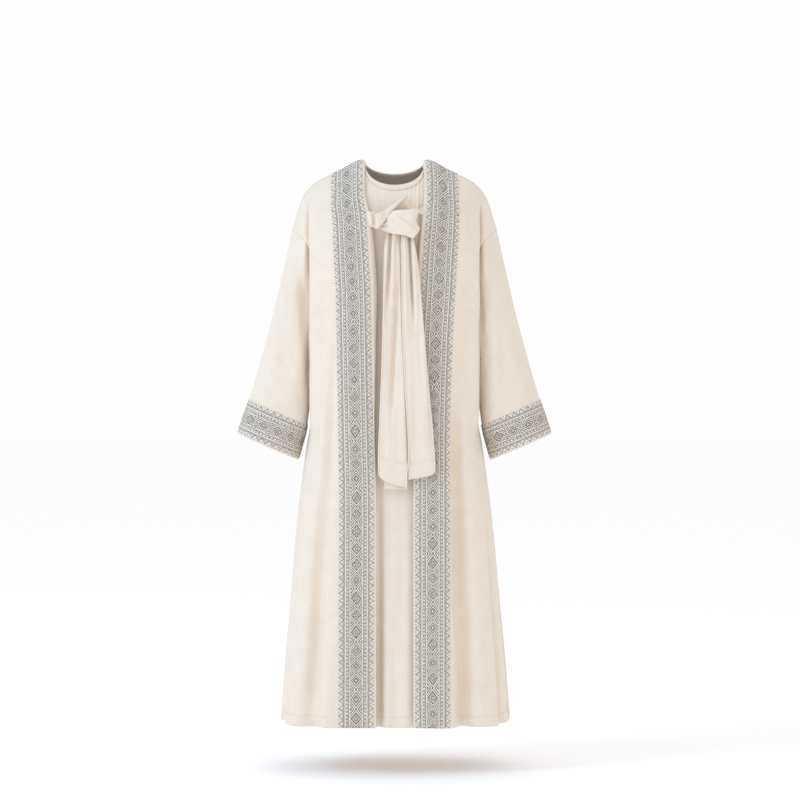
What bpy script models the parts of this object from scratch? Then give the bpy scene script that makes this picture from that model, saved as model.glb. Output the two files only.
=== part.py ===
"""A child's open, full-length abaya in cream cloth, in its worn form with nobody in it.

Sizes are in millimetres and the meshes in metres. +Z is up, the front faces -Y, and +X is the
viewer's right. The origin is the middle of the neck, level with the neck ends of the shoulder
seams. "Depth" is the distance below that level, measured down a front edge, and "left" and
"right" are the viewer's.
"""

import math

import bpy
import numpy as np

for old in list(bpy.data.objects):
    bpy.data.objects.remove(old)

MM = 0.001
LEFT, RIGHT = -1, 1

LENGTH = 923.0
ARMHOLE_DEPTH = 235.0
SEAM_Y = 5.0
NECK_HALF = 51.0
SHOULDER_DROP = 115.0
CLOTH_WALL = 1.6
TRIM_WALL = 1.2
SEAM_GAP = 0.3
TRIM_WIDTH = 57.0
SQUARENESS = 0.7

# Drop of the shoulder seam at each distance from the middle, round over the shoulder.
SHOULDER_LINE = {
    "out": (0, 51, 88, 129, 144, 156, 162, 169),
    "drop": (0, 0, 16.5, 36, 50, 72, 93, 115),
}

# Half width at the side, how far front and back stand out from the seams, and how deep the hollow
# is where the side gives way to the arm, between an upright fold in front of it and one behind.
BODY = {
    "depth": (0, 15, 40, 80, 130, 235, 395, 495, 560, 627, 725, 825, 923),
    "side": (169, 160, 147, 139, 138, 138, 139, 149, 157, 164, 172, 181, 188),
    "front": (0, 30, 58, 82, 92, 94, 97, 101, 104, 107, 113, 119, 125),
    "back": (0, 28, 52, 72, 80, 82, 82, 86, 90, 95, 103, 111, 118),
    "hollow": (0, 0, 0, 1.5, 5, 10, 6, 0.5, 0, 0, 0, 0, 0),
}
HOLLOW_FLAT = 30.0
HOLLOW_ROUND = 24.0

# How far the armhole edges of the front and the back lie from the seam's own plane.
ARMHOLE = {
    "depth": (0, 25, 60, 120, 180, 235),
    "front": (0, 26, 40, 41, 29, 0),
    "back": (0, 28, 44, 46, 32, 0),
}

# Distance from the middle to the inner edge of the trim, and the plain cloth edge beyond it.
LEFT_EDGE = {
    "depth": (0, 60, 90, 165, 220, 300, 460, 560, 923),
    "trim": (52, 51, 47, 42, 39, 37.5, 34.5, 32.5, 33),
    "plain": (3, 3, 6, 11, 11, 8, 3, 3, 3.5),
}
RIGHT_EDGE = {
    "depth": (0, 60, 90, 165, 220, 300, 460, 560, 923),
    "trim": (52, 53.5, 52, 46, 43, 38.5, 34, 33.5, 33.5),
    "plain": (4, 5, 6, 7, 7, 5, 3, 3, 3),
}

# Soft folds down the panels: place across the panel beyond the trim (0 is the trim's outer edge,
# 1 the side seam), half width, how far each stands out at the hem, and the depth where it begins.
FRONT_FOLDS = {
    LEFT: ((0.0, 30, 5, 430), (0.16, 16, 7, 560), (0.34, 20, -9, 430), (0.6, 24, 3, 330),
           (0.84, 22, -6, 380)),
    RIGHT: ((-0.05, 26, 10, 400), (0.12, 15, -17, 380), (0.4, 26, 4, 330), (0.68, 18, 6, 450),
            (0.87, 17, -15, 420)),
}
# The same for the back, from its middle (0) to the left (-1) and right (1) side seams.
BACK_FOLDS = ((-0.86, 22, -9, 420), (-0.62, 26, 9, 330), (-0.34, 26, -10, 300), (-0.06, 30, 8, 260),
              (0.2, 24, -9, 330), (0.46, 28, 10, 300), (0.7, 22, -10, 380), (0.9, 20, 5, 420))

# The sleeve's outer and inner lines from the armhole to the cuff's edge: the last fifth, where the
# trim is, runs parallel to that edge.
SLEEVE_OUTER = {"along": (0, 0.4, 0.8, 1), "out": (169, 201, 240, 259), "down": (115, 256, 395, 451)}
SLEEVE_INNER = {"along": (0, 0.4, 0.8, 1), "out": (131, 134, 144.5, 158.5),
                "down": (235, 335, 437, 494)}
SLEEVE_HALF_DEPTH = {"along": (0, 0.25, 0.6, 1), "half": (42, 50, 53, 53)}
# Long soft folds down the sleeve: turn (0 is the outer line, then round by the front), half width in
# turns, how far it stands out, and where along the sleeve it begins and ends.
SLEEVE_FOLDS = ((0.22, 0.05, -4.0, 0.12, 0.78), (0.33, 0.05, 3.0, 0.2, 0.8), (0.78, 0.06, -4.0, 0.1, 0.75),
                (0.64, 0.05, 3.0, 0.2, 0.8))
CUFF_TRIM_FROM = 0.8
CUFF_TRIM_TO = 0.992

# The inner front: how far it hangs behind the fronts' edges, its round neck, and its soft folds
# (distance from the middle at the top, half width, how far it stands out at the hem, where it begins).
INNER_GAP = {"depth": (0, 20, 60, 120, 300, 500, 923), "gap": (2.2, 5, 9, 11, 10, 12, 27)}
INNER_EDGE_FROM_TRIM = 59.0
INNER_CLEAR = 2.0
INNER_NECK_HALF = 48.0
INNER_NECK_DEPTH = 46.0
INNER_FOLDS = ((-38, 15, -24, 400), (-12, 16, 4, 400), (30, 20, 5, 430))
# Gathers below the neckline: from, to, one gather's width and how far it stands out.
GATHERS = ((-37.0, 16.0, 6.3, 0.8), (22.0, 44.0, 7.3, 1.5))
GATHERS_FADE_OVER = 75.0
BINDING_DEPTH = 9.0
BACK_NECK_DEPTH = 20.0

# The tie. "out" is the distance to the viewer's right of the middle, "down" is below the origin and
# "front" is forward of it.
TIE_WALL = 1.2
KNOT = {
    "out": (-43.0, -41.0, -37.5, -33.5, -30.5, -27.0, -22.5, -19.0, -17.2),
    "half_height": (2, 10, 15, 14.5, 13.5, 16.5, 17, 12, 3),
    "half_depth": (1.5, 7, 11, 10, 9, 12, 12.5, 8, 2),
    "down": (101, 101.5, 102.5, 104, 105, 105, 107, 111, 113),
}
KNOT_FRONT = 98.5
WING = {
    "along": (0, 0.33, 0.66, 1),
    "low_out": (-16.5, -8.6, -2.0, 3.2), "low_down": (112, 103, 96, 90.5),
    "low_front": (100.5, 102, 103, 102.5),
    "top_out": (-17.2, -8.5, 5.5, 19.0), "top_down": (92, 84.5, 74.5, 66.8),
    "top_front": (99, 100.5, 99.5, 96),
    "rear_out": (-13.5, 0, 14, 26.5), "rear_down": (108, 102, 97, 89),
    "rear_front": (95, 94.5, 93, 92),
}
LOOP = {
    "along": (0, 0.2, 0.42, 0.66, 0.86, 1),
    "top_out": (-18.2, -9.0, 1.0, 15.5, 28.0, 36.2), "top_down": (116, 105, 92.5, 90.5, 89.5, 88),
    "low_out": (-18.2, -10.2, -0.5, 13.9, 28.0, 37.5), "low_down": (121.5, 126, 128, 130.5, 135, 126),
    "front": (105, 110.5, 114, 114.5, 112.5, 107),
}
LEFT_TAIL = {
    "down": (118, 132, 154, 232, 335, 436, 488, 517, 536.5),
    "from": (-12, -13.2, -16.8, -18.2, -20.8, -24.7, -26.5, -26.3, -26.0),
    "to": (6, 8.0, 8.6, 8.6, 12.0, 18.0, 20.0, 20.2, 20.4),
    "front": (98.5, 99.5, 102, 104, 105.5, 106.5, 107, 107, 107),
    "pleat": (2.2, 3.2, 4.2, 4.0, 2.6, 1.5, 1.0, 0.8, 0.6),
    "across": (0, 0.45, 1), "end": (517, 532, 536.5),
}
RIGHT_TAIL = {
    "down": (118, 132, 170, 252, 360, 475, 512, 524),
    "from": (9.4, 10.1, 10.8, 11.4, 15.8, 22.2, 22.6, 22.8),
    "to": (27, 30, 37.8, 45.5, 54.5, 64.8, 66.1, 64.5),
    "front": (98.8, 100.8, 102.3, 104, 106, 107, 107, 107),
    "pleat": (2.2, 3.2, 4.2, 3.8, 2.2, 1.0, 0.8, 0.6),
    "across": (0, 0.5, 1), "end": (524, 522, 517.5),
}
UNDER_TAIL = {
    "down": (128, 240, 360, 470, 520, 540),
    "from": (-10, -13, -15, -16.5, -16.6, -16.6),
    "to": (7, 9, 12, 18, 20, 20.3),
    "front": (94.4, 95.8, 98, 101, 102.8, 103.3),
    "pleat": (0.6, 1.0, 0.8, 0.5, 0.3, 0.2),
    "across": (0, 0.5, 1), "end": (539, 540, 540),
}


def through(table, key, column, at):
    """A smooth curve through a table's column that never overshoots its rows."""
    x = np.asarray(table[key], float)
    y = np.asarray(table[column], float)
    step = np.diff(x)
    slope = np.diff(y) / step
    lean = np.zeros(len(x))
    same = slope[:-1] * slope[1:] > 0
    weight = step[:-1] + 2 * step[1:]
    other = 2 * step[:-1] + step[1:]
    total = weight + other
    first = np.where(same, slope[:-1], 1.0)
    second = np.where(same, slope[1:], 1.0)
    lean[1:-1] = np.where(same, total / (weight / first + other / second), 0.0)
    lean[0] = slope[0]
    lean[-1] = slope[-1]
    at = np.clip(np.asarray(at, float), x[0], x[-1])
    i = np.clip(np.searchsorted(x, at, side="right") - 1, 0, len(x) - 2)
    q = (at - x[i]) / step[i]
    return (y[i] * (1 + 2 * q) * (1 - q) ** 2 + lean[i] * step[i] * q * (1 - q) ** 2
            + y[i + 1] * q * q * (3 - 2 * q) + lean[i + 1] * step[i] * q * q * (q - 1))


def ease(q):
    """0 below 0, 1 above 1, and smooth between."""
    q = np.clip(q, 0.0, 1.0)
    return q * q * (3 - 2 * q)


def seam_line(depth, face):
    """The armhole and side seam at a depth: (out, back) in plan, for the "front" or "back"."""
    out = through(BODY, "depth", "side", depth)
    reach = through(ARMHOLE, "depth", face, min(depth, ARMHOLE_DEPTH))
    return out, SEAM_Y + (reach if face == "back" else -reach)


def beside_arm(out, y, depth):
    """Distance from the middle once the side gives way to the arm."""
    near = 1 - ease((np.abs(y - SEAM_Y) - HOLLOW_FLAT) / HOLLOW_ROUND)
    at_side = ease(out / through(BODY, "depth", "side", depth) * 4 - 3)
    return out - through(BODY, "depth", "hollow", depth) * near * at_side


def quarter_round(start, end, count=161):
    """Plan curve that leaves the middle of a panel straight across and meets its side seam."""
    u = np.linspace(0, 1, count)
    bend_x = start[0] + SQUARENESS * (end[0] - start[0])
    bend_y = end[1] - SQUARENESS * (end[1] - start[1])
    w = ((1 - u) ** 3, 3 * u * (1 - u) ** 2, 3 * u * u * (1 - u), u ** 3)
    x = w[0] * start[0] + w[1] * bend_x + w[2] * end[0] + w[3] * end[0]
    y = w[0] * start[1] + w[1] * start[1] + w[2] * bend_y + w[3] * end[1]
    return x, y


def shoulder_share(depth):
    """How much of the shoulder's slope a row of cloth still has at this depth."""
    return max(0.0, 1 - depth / ARMHOLE_DEPTH)


def run_of(x, y):
    """Distances along a plan curve."""
    return np.concatenate([[0], np.cumsum(np.hypot(np.diff(x), np.diff(y)))])


def folded(x, y, middles, folds, depth):
    """A plan curve pushed to the right of its run, where its folds' middles lie."""
    run = run_of(x, y)
    push = np.zeros(len(x))
    for middle, (_, half_width, height, begins) in zip(middles, folds):
        grown = ease((depth - begins) / (LENGTH - begins))
        push += height * grown * np.exp(-((run - middle) / half_width) ** 2)
    tx = np.gradient(x)
    ty = np.gradient(y)
    size = np.hypot(tx, ty)
    return x + push * ty / size, y - push * tx / size


def front_row(side, depth):
    """A front panel's row at a depth: distance from the trim's inner edge, and points."""
    edge = LEFT_EDGE if side == LEFT else RIGHT_EDGE
    start_out = through(edge, "depth", "trim", depth)
    start = (start_out, SEAM_Y - through(BODY, "depth", "front", depth))
    x, y = quarter_round(start, seam_line(depth, "front"))
    x = beside_arm(x, y, depth)
    top_x, _ = quarter_round((NECK_HALF, 0), (BODY["side"][0], 0))
    z = -depth - through(SHOULDER_LINE, "out", "drop", top_x) * shoulder_share(depth)
    panel = run_of(x, y)[-1] - TRIM_WIDTH
    middles = [TRIM_WIDTH + fold[0] * panel for fold in FRONT_FOLDS[side]]
    x, y = folded(x, y, middles, FRONT_FOLDS[side], depth)
    length = np.concatenate([[0], np.cumsum(np.hypot(np.hypot(np.diff(x), np.diff(y)), np.diff(z)))])
    return length, np.stack([x * side, y, z], axis=1)


def front_points(side, depth, distances):
    """Points of a front at distances from its trim's inner edge, below 0 on the plain edge."""
    length, points = front_row(side, depth)
    found = np.stack([np.interp(distances, length, points[:, k]) for k in range(3)], axis=1)
    beyond = np.minimum(np.asarray(distances, float), 0.0)
    found[:, 0] += beyond * side
    found[:, 1] += 0.04 * beyond * beyond
    return found, length[-1]


def back_points(depth_at, shares):
    """Points of the back, at shares of its half width and a depth for each of them."""
    found = []
    for share, depth in zip(shares, depth_at):
        side = LEFT if share < 0 else RIGHT
        start = (0.0, SEAM_Y + through(BODY, "depth", "back", depth))
        x, y = quarter_round(start, seam_line(depth, "back"))
        x = beside_arm(x, y, depth)
        top_x, _ = quarter_round((0, 0), (BODY["side"][0], 0))
        z = -depth - through(SHOULDER_LINE, "out", "drop", top_x) * shoulder_share(depth)
        run = run_of(x, y)
        middles = [fold[0] * side * run[-1] for fold in BACK_FOLDS]
        x, y = folded(x, -y, middles, BACK_FOLDS, depth)
        place = abs(share) * run[-1]
        found.append([np.interp(place, run, column) for column in (side * x, -y, z)])
    return np.array(found)


def outward(grid, closed=False):
    """Unit normals of a grid of points, rows running down and columns across."""
    if closed:
        wrapped = np.concatenate([grid[:, -1:], grid, grid[:, :1]], axis=1)
        across = (wrapped[:, 2:] - wrapped[:, :-2]) / 2
    else:
        across = np.gradient(grid, axis=1)
    down = np.gradient(grid, axis=0)
    normal = np.cross(down, across)
    return normal / np.maximum(np.linalg.norm(normal, axis=2, keepdims=True), 1e-9)


def make_piece(name, points, faces, material):
    """A named object from points in millimetres."""
    mesh = bpy.data.meshes.new(name)
    mesh.from_pydata([tuple(float(v) * MM for v in p) for p in points], [], faces)
    mesh.materials.append(material)
    mesh.validate()
    mesh.update()
    piece = bpy.data.objects.new(name, mesh)
    bpy.context.collection.objects.link(piece)
    return piece


def wall(name, grid, normals, below, above, material, closed=False):
    """A cloth wall between two skins, below and above the grid along its normals."""
    rows, columns = grid.shape[:2]
    outer = (grid + normals * above).reshape(-1, 3)
    inner = (grid + normals * below).reshape(-1, 3)
    points = np.concatenate([outer, inner])
    half = rows * columns
    faces = []
    spans = columns if closed else columns - 1
    for r in range(rows - 1):
        for c in range(spans):
            a = r * columns + c
            b = r * columns + (c + 1) % columns
            faces.append((a, a + columns, b + columns, b))
            faces.append((half + a, half + b, half + b + columns, half + a + columns))
    for c in range(spans):
        top, top_next = c, (c + 1) % columns
        low = (rows - 1) * columns
        faces.append((top, top_next, half + top_next, half + top))
        faces.append((low + top, half + low + top, half + low + top_next, low + top_next))
    if not closed:
        for r in range(rows - 1):
            a, b = r * columns, (r + 1) * columns
            faces.append((a, half + a, half + b, b))
            c, d = a + columns - 1, b + columns - 1
            faces.append((c, d, half + d, half + c))
    return make_piece(name, points, faces, material)


def cloth_material(name, colour, roughness):
    """A plain matte cloth."""
    material = bpy.data.materials.new(name)
    material.use_nodes = True
    shader = material.node_tree.nodes["Principled BSDF"]
    shader.inputs["Base Color"].default_value = (*colour, 1)
    shader.inputs["Roughness"].default_value = roughness
    shader.inputs["Metallic"].default_value = 0.0
    return material


cream = cloth_material("cream_cloth", (0.83, 0.77, 0.70), 0.9)
trim_cloth = cloth_material("grey_trim", (0.52, 0.51, 0.50), 0.85)

DEPTHS = (0, 12, 28, 50, 80, 115, 155, 195, 235, 290, 350, 420, 495, 570, 645, 720, 795, 865, LENGTH)


def level_seam(normals, sides):
    """Turns normals at the shoulder row and side seams so that the pieces' edges lie parallel."""
    normals[0, :, 1] = 0.0
    for r, depth in enumerate(DEPTHS):
        if depth >= ARMHOLE_DEPTH:
            for column in sides:
                normals[r, column, 1] = 0.0
    normals /= np.linalg.norm(normals, axis=2, keepdims=True)


def front_grid(side):
    """A front panel's grid: plain edge, four trim columns, then on to the side seam."""
    shares = (0.12, 0.24, 0.36, 0.48, 0.6, 0.72, 0.84, 0.93, 1.0)
    edge = LEFT_EDGE if side == LEFT else RIGHT_EDGE
    rows = []
    for depth in DEPTHS:
        plain = float(through(edge, "depth", "plain", depth))
        _, width = front_points(side, depth, [0.0])
        end = width - SEAM_GAP / 2
        places = [-plain, 0, TRIM_WIDTH / 3, 2 * TRIM_WIDTH / 3, TRIM_WIDTH]
        places += [TRIM_WIDTH + s * (end - TRIM_WIDTH) for s in shares]
        rows.append(front_points(side, depth, places)[0])
    grid = np.array(rows)
    grid[0, :, 1] -= SEAM_GAP / 2
    return grid


def front_and_trim(side, name):
    """One front panel and the trim band that lies on it, 0.3 mm off."""
    grid = front_grid(side)
    normals = outward(grid) * side
    level_seam(normals, (-1,))
    band = grid[:, 1:5]
    band_normals = normals[:, 1:5]
    if side == LEFT:
        grid, normals, band, band_normals = (a[:, ::-1] for a in (grid, normals, band, band_normals))
    wall("front_" + name, grid, normals, -CLOTH_WALL, 0.0, cream)
    wall("trim_" + name, band, band_normals, SEAM_GAP, SEAM_GAP + TRIM_WALL, trim_cloth)


def back_top(share):
    """Depth of the back's top edge: the neckline's dip between the shoulder seams."""
    neck_share = NECK_HALF / BODY["side"][0]
    inside = np.clip(1 - (share / neck_share) ** 2, 0, 1)
    return BACK_NECK_DEPTH * inside ** 0.5


def back_grid(shares, rows):
    """The back's grid, from its top edge to the hem."""
    tops = [back_top(share) for share in shares]
    return np.array([back_points([top + depth / LENGTH * (LENGTH - top) for top in tops], shares)
                     for depth in rows])


def back():
    """The back in one piece, and the binding round the back of the neck."""
    neck_share = NECK_HALF / BODY["side"][0]
    half = (0, 0.35 * neck_share, 0.65 * neck_share, 0.87 * neck_share, neck_share, 0.39, 0.49,
            0.59, 0.69, 0.79, 0.88, 0.95, 0.9985)
    shares = list(reversed(half)) + [-share for share in half[1:]]
    grid = back_grid(shares, DEPTHS)
    grid[0, :, 1] += SEAM_GAP / 2
    normals = outward(grid)
    level_seam(normals, (0, -1))
    wall("back", grid, normals, -CLOTH_WALL, 0.0, cream)


def armhole_loop(side, turns):
    """Points round the armhole, from its top by the front to the underarm and back behind."""
    depths = np.linspace(0, ARMHOLE_DEPTH, 80)
    loops = []
    for face in ("front", "back"):
        edge = []
        for depth in depths:
            out, y = seam_line(depth, face)
            out = beside_arm(out, y, depth)
            edge.append((out * side, y, -depth - SHOULDER_DROP * shoulder_share(depth)))
        edge = np.array(edge)
        length = np.concatenate([[0], np.cumsum(np.linalg.norm(np.diff(edge, axis=0), axis=1))])
        loops.append((length / length[-1], edge))
    found = []
    for turn in turns:
        share, (length, edge) = (2 * turn, loops[0]) if turn <= 0.5 else (2 - 2 * turn, loops[1])
        found.append([np.interp(share, length, edge[:, k]) for k in range(3)])
    return np.array(found)


def sleeve_ring(side, along, turns):
    """A ring of the sleeve, share 0 at its outer line, then round by the front."""
    def ellipse(at):
        outer = (through(SLEEVE_OUTER, "along", "out", at), -through(SLEEVE_OUTER, "along", "down", at))
        inner = (through(SLEEVE_INNER, "along", "out", at), -through(SLEEVE_INNER, "along", "down", at))
        half = through(SLEEVE_HALF_DEPTH, "along", "half", at)
        angle = 2 * math.pi * turns
        x = (outer[0] + inner[0]) / 2 + (outer[0] - inner[0]) / 2 * np.cos(angle)
        z = (outer[1] + inner[1]) / 2 + (outer[1] - inner[1]) / 2 * np.cos(angle)
        return np.stack([x * side, SEAM_Y - half * np.sin(angle), z], axis=1)

    top_share = (1 + np.cos(2 * math.pi * turns)) / 2
    clear = np.stack([(2.4 - 2.25 * top_share) * side, 0 * turns, -0.5 - 0.1 * top_share], axis=1)
    start = armhole_loop(side, turns) + clear
    ring = ellipse(along) + (start - ellipse(0)) * (1 - ease(along / 0.22))
    middle = ring.mean(axis=0)
    out = (ring - middle) / np.linalg.norm(ring - middle, axis=1, keepdims=True)
    for turn, half_width, height, begins, ends in SLEEVE_FOLDS:
        share = min(max((along - begins) / (ends - begins), 0.0), 1.0)
        swell = math.sin(math.pi * share)
        ring += out * (height * swell * np.exp(-((turns - turn) / half_width) ** 2))[:, None]
    return ring


def sleeve(side, name):
    """One sleeve and the trim round its cuff."""
    turns = np.arange(20) / 20
    places = (0, 0.06, 0.13, 0.22, 0.36, 0.5, 0.65, 0.8, 0.9, CUFF_TRIM_TO, 1.0)
    grid = np.array([sleeve_ring(side, along, turns) for along in places])
    if side == RIGHT:
        grid = grid[:, ::-1]
    normals = outward(grid, closed=True)
    wall("sleeve_" + name, grid, normals, -CLOTH_WALL, 0.0, cream, closed=True)
    cuff = slice(places.index(CUFF_TRIM_FROM), places.index(CUFF_TRIM_TO) + 1)
    wall("cuff_trim_" + name, grid[cuff], normals[cuff], SEAM_GAP, SEAM_GAP + TRIM_WALL, trim_cloth,
         closed=True)


def inside_front(side, depth, place, clear):
    """A point behind a front, at a distance from its trim's inner edge and clear of its outside."""
    step = 2.0
    here = front_points(side, depth, [place - step, place, place + step])[0]
    below = front_points(side, depth + step, [place])[0][0]
    across = (here[2] - here[0]) * side
    normal = np.cross(below - here[1], across)
    normal /= np.linalg.norm(normal)
    return here[1] - normal * clear


def inner_neck(out):
    """Depth of the inner front's top edge at a distance from the middle: a round neck."""
    return INNER_NECK_DEPTH * np.clip(1 - (out / INNER_NECK_HALF) ** 2, 0, 1) ** 0.35


def gathered(out, below_neck):
    """How far the gathers stand out at a distance from the middle and below the neckline."""
    total = 0.0
    for start, end, width, height in GATHERS:
        share = (out - start) / (end - start)
        if 0 < share < 1:
            swell = ease(share / 0.15) * ease((1 - share) / 0.15)
            total += height * swell * math.cos(2 * math.pi * (out - start) / width)
    return total * (0.25 + 0.75 * ease(below_neck / 12)) * math.exp(-below_neck / GATHERS_FADE_OVER)


def inner_point(out, share, neck=None):
    """A point of the inner front: "out" is its distance from the middle at the shoulder seam."""
    top = inner_neck(out)
    depth = top + share * (LENGTH - top) if neck is None else top + neck
    side = LEFT if out < 0 else RIGHT
    edge = LEFT_EDGE if side == LEFT else RIGHT_EDGE
    gap = through(INNER_GAP, "depth", "gap", depth)
    trim_edge = edge["trim"][0]
    if abs(out) <= trim_edge:
        x = out * through(edge, "depth", "trim", depth) / trim_edge
        y = SEAM_Y - through(BODY, "depth", "front", depth) + gap
        z = -depth
    else:
        place = abs(out) - trim_edge
        least = INNER_CLEAR + 1.6 * ease(depth / 30)
        clear = least + max(gap - least, 0) * (1 - ease(place / INNER_EDGE_FROM_TRIM))
        x, y, z = inside_front(side, depth, place, clear)
    under_seam = max(0.0, 1 - depth / 30)
    y -= 2.4 * under_seam
    z -= 2.4 * under_seam
    for place, half_width, height, begins in INNER_FOLDS:
        y -= height * ease((depth - begins) / (LENGTH - begins)) * math.exp(
            -((out - place) / half_width) ** 2)
    y -= gathered(out, depth - top)
    return (x, y, z)


def inner_front():
    """The inner front and its neck binding."""
    neck = list(np.linspace(-42, 42, 41))
    ends = [44.2, 46.0, 47.2, 47.85, 49.0]
    neck = [-v for v in reversed(ends)] + neck + ends
    outs = list(neck)
    for place in (14.0, 30.0, 45.0, INNER_EDGE_FROM_TRIM):
        outs = [-(LEFT_EDGE["trim"][0] + place)] + outs + [RIGHT_EDGE["trim"][0] + place]
    shares = (0, 0.010, 0.025, 0.05, 0.085, 0.13, 0.2, 0.32, 0.46, 0.6, 0.74, 0.88, 1.0)
    grid = np.array([[inner_point(out, share) for out in outs] for share in shares])
    wall("inner_front", grid, outward(grid), -CLOTH_WALL, 0.0, cream)
    edges = np.array([[inner_point(out, 0, neck=down) for out in neck[2:-2:2]]
                      for down in (0.4, BINDING_DEPTH / 2, BINDING_DEPTH)])
    wall("inner_neck_binding", edges, outward(edges), 1.2, 1.2 + TRIM_WALL, cream)


def lofted_sheet(name, grid, thickness):
    """A free sheet of the tie's cloth, facing forward."""
    grid = np.array(grid)
    wall(name, grid, outward(grid), -thickness, 0.0, cream)


def tail(name, table, flutes, columns, rows):
    """A hanging end of the tie: upright flutes near the knot that open out lower down."""
    start = table["down"][0]
    grid = []
    for share in np.linspace(0, 1, rows):
        row = []
        for across in np.linspace(0, 1, columns):
            down = start + share * (through(table, "across", "end", across) - start)
            left, right, front, pleat = (through(table, "down", key, down)
                                         for key in ("from", "to", "front", "pleat"))
            y = -front - pleat * math.cos(2 * math.pi * flutes * across)
            row.append((left + (right - left) * across, y, -down))
        grid.append(row)
    lofted_sheet(name, grid, TIE_WALL)


def knot():
    """The knot: two plump wraps of cloth side by side."""
    turns = np.arange(12) / 12 * 2 * math.pi
    stations = np.linspace(KNOT["out"][0], KNOT["out"][-1], 13)
    points = []
    for out in stations:
        half_height, half_depth, down = (through(KNOT, "out", key, out)
                                         for key in ("half_height", "half_depth", "down"))
        for turn in turns:
            points.append((out, -KNOT_FRONT + half_depth * math.sin(turn),
                           -down + half_height * math.cos(turn)))
    count = len(turns)
    faces = [tuple(range(count)), tuple(range(len(points) - 1, len(points) - count - 1, -1))]
    for r in range(len(stations) - 1):
        for c in range(count):
            a, b = r * count + c, r * count + (c + 1) % count
            faces.append((b, a, a + count, b + count))
    make_piece("tie_knot", points, faces, cream)


def wing():
    """The short upper end: a strip folded along its top edge, its mouth open to the right."""
    grid = []
    for along in np.linspace(0, 1, 6):
        low, top, rear = (np.array([through(WING, "along", key + "_out", along),
                                    -through(WING, "along", key + "_front", along),
                                    -through(WING, "along", key + "_down", along)])
                          for key in ("low", "top", "rear"))
        row = [low + (top - low) * q + np.array([0, -3.0 * math.sin(math.pi * q), 0])
               for q in (0, 0.35, 0.7, 0.93)]
        row += [top + np.array([0.8, 1.8, 0.6])]
        row += [top + (rear - top) * q + np.array([0.8, 2.4 * (1 - q), 0]) for q in (0.15, 0.45, 0.75, 1)]
        grid.append(row)
    grid = np.array(grid).transpose(1, 0, 2)
    lofted_sheet("tie_wing", grid[::-1], TIE_WALL)


def loop():
    """The half bow: a strip that runs right from the knot, turns back and returns behind itself."""
    rows = []
    for q in np.linspace(0, 1, 7):
        row = []
        for along, back in [(a, 0.0) for a in (0, 0.14, 0.28, 0.42, 0.56, 0.7, 0.84, 0.95)] + [
                (1.0, 0.5)] + [(a, 1.0) for a in (0.93, 0.75, 0.55, 0.35)]:
            top_out, top_down, low_out, low_down, front = (
                through(LOOP, "along", key, along)
                for key in ("top_out", "top_down", "low_out", "low_down", "front"))
            bulge = 4.0 * math.sin(math.pi * q) * ease(along / 0.3)
            deep = (3.0 + 4.5 * ease(along)) * back
            x = top_out + (low_out - top_out) * q + (2.5 if back == 0.5 else 0.0)
            y = -front - bulge * (1 - 1.2 * back) + deep
            row.append((x, y, -(top_down + (low_down - top_down) * q)))
        rows.append(row)
    lofted_sheet("tie_loop", rows, TIE_WALL)


def straps():
    """The ties where they leave the two front edges, behind the plain edges."""
    right = []
    left = []
    for r in np.linspace(0, 1, 4):
        right.append([(out, -74.2 - 12.9 * ease((44 - out) / 17), -(85 - (out - 20) * 0.12 + 13 * r))
                      for out in np.linspace(20, 53, 8)])
        left.append([(-out, -75.7 - 13.2 * ease((38.5 - out) / 7.5), -(90 + 20 * r))
                     for out in np.linspace(31, 54, 8)[::-1]])
    lofted_sheet("tie_strap_right", right, TIE_WALL)
    lofted_sheet("tie_strap_left", left, TIE_WALL)


def back_neck_binding():
    """The plain edge carried round the back of the neck."""
    neck_share = NECK_HALF / BODY["side"][0]
    shares = [neck_share * s for s in (0.97, 0.85, 0.65, 0.4, 0.15, -0.15, -0.4, -0.65, -0.85, -0.97)]
    grid = np.array([back_points([back_top(s) + down for s in shares], shares)
                     for down in (0.3, BINDING_DEPTH / 2, BINDING_DEPTH)])
    wall("back_neck_binding", grid, outward(grid), SEAM_GAP, SEAM_GAP + TRIM_WALL, cream)


for side, name in ((LEFT, "left"), (RIGHT, "right")):
    front_and_trim(side, name)
    sleeve(side, name)
back()
back_neck_binding()
inner_front()
knot()
wing()
loop()
straps()
tail("tail_under", UNDER_TAIL, 0.5, 5, 8)
tail("tail_left", LEFT_TAIL, 2.0, 13, 14)
tail("tail_right", RIGHT_TAIL, 2.0, 13, 14)
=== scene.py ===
import math

import bpy
import numpy as np
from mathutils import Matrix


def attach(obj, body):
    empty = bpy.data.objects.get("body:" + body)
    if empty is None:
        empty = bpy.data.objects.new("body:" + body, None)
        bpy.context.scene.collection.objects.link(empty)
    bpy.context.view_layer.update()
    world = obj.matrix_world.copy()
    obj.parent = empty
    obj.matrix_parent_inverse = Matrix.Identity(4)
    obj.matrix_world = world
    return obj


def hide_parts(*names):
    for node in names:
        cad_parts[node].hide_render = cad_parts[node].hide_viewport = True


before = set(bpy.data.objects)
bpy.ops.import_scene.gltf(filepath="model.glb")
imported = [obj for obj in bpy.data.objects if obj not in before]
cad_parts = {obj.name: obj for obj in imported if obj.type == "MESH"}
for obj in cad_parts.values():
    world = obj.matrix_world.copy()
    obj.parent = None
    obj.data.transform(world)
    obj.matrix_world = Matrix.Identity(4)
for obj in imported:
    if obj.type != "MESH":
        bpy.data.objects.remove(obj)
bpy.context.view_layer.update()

# The two fronts. Each is one panel of soft, slubby cream linen from the shoulder seam to the hem, with its
# front edge turned in beside the trim. It is sewn to the back at the shoulder and the side, and its hem is
# turned up and held by one row of stitching. Sizes here and below are in millimetres.
MM = 0.001
LEFT, RIGHT = -1, 1
LENGTH = 923.0
ARMHOLE_DEPTH = 235.0
SEAM_Y = 5.0
NECK_HALF = 51.0
CLOTH_WALL = 1.3
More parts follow.
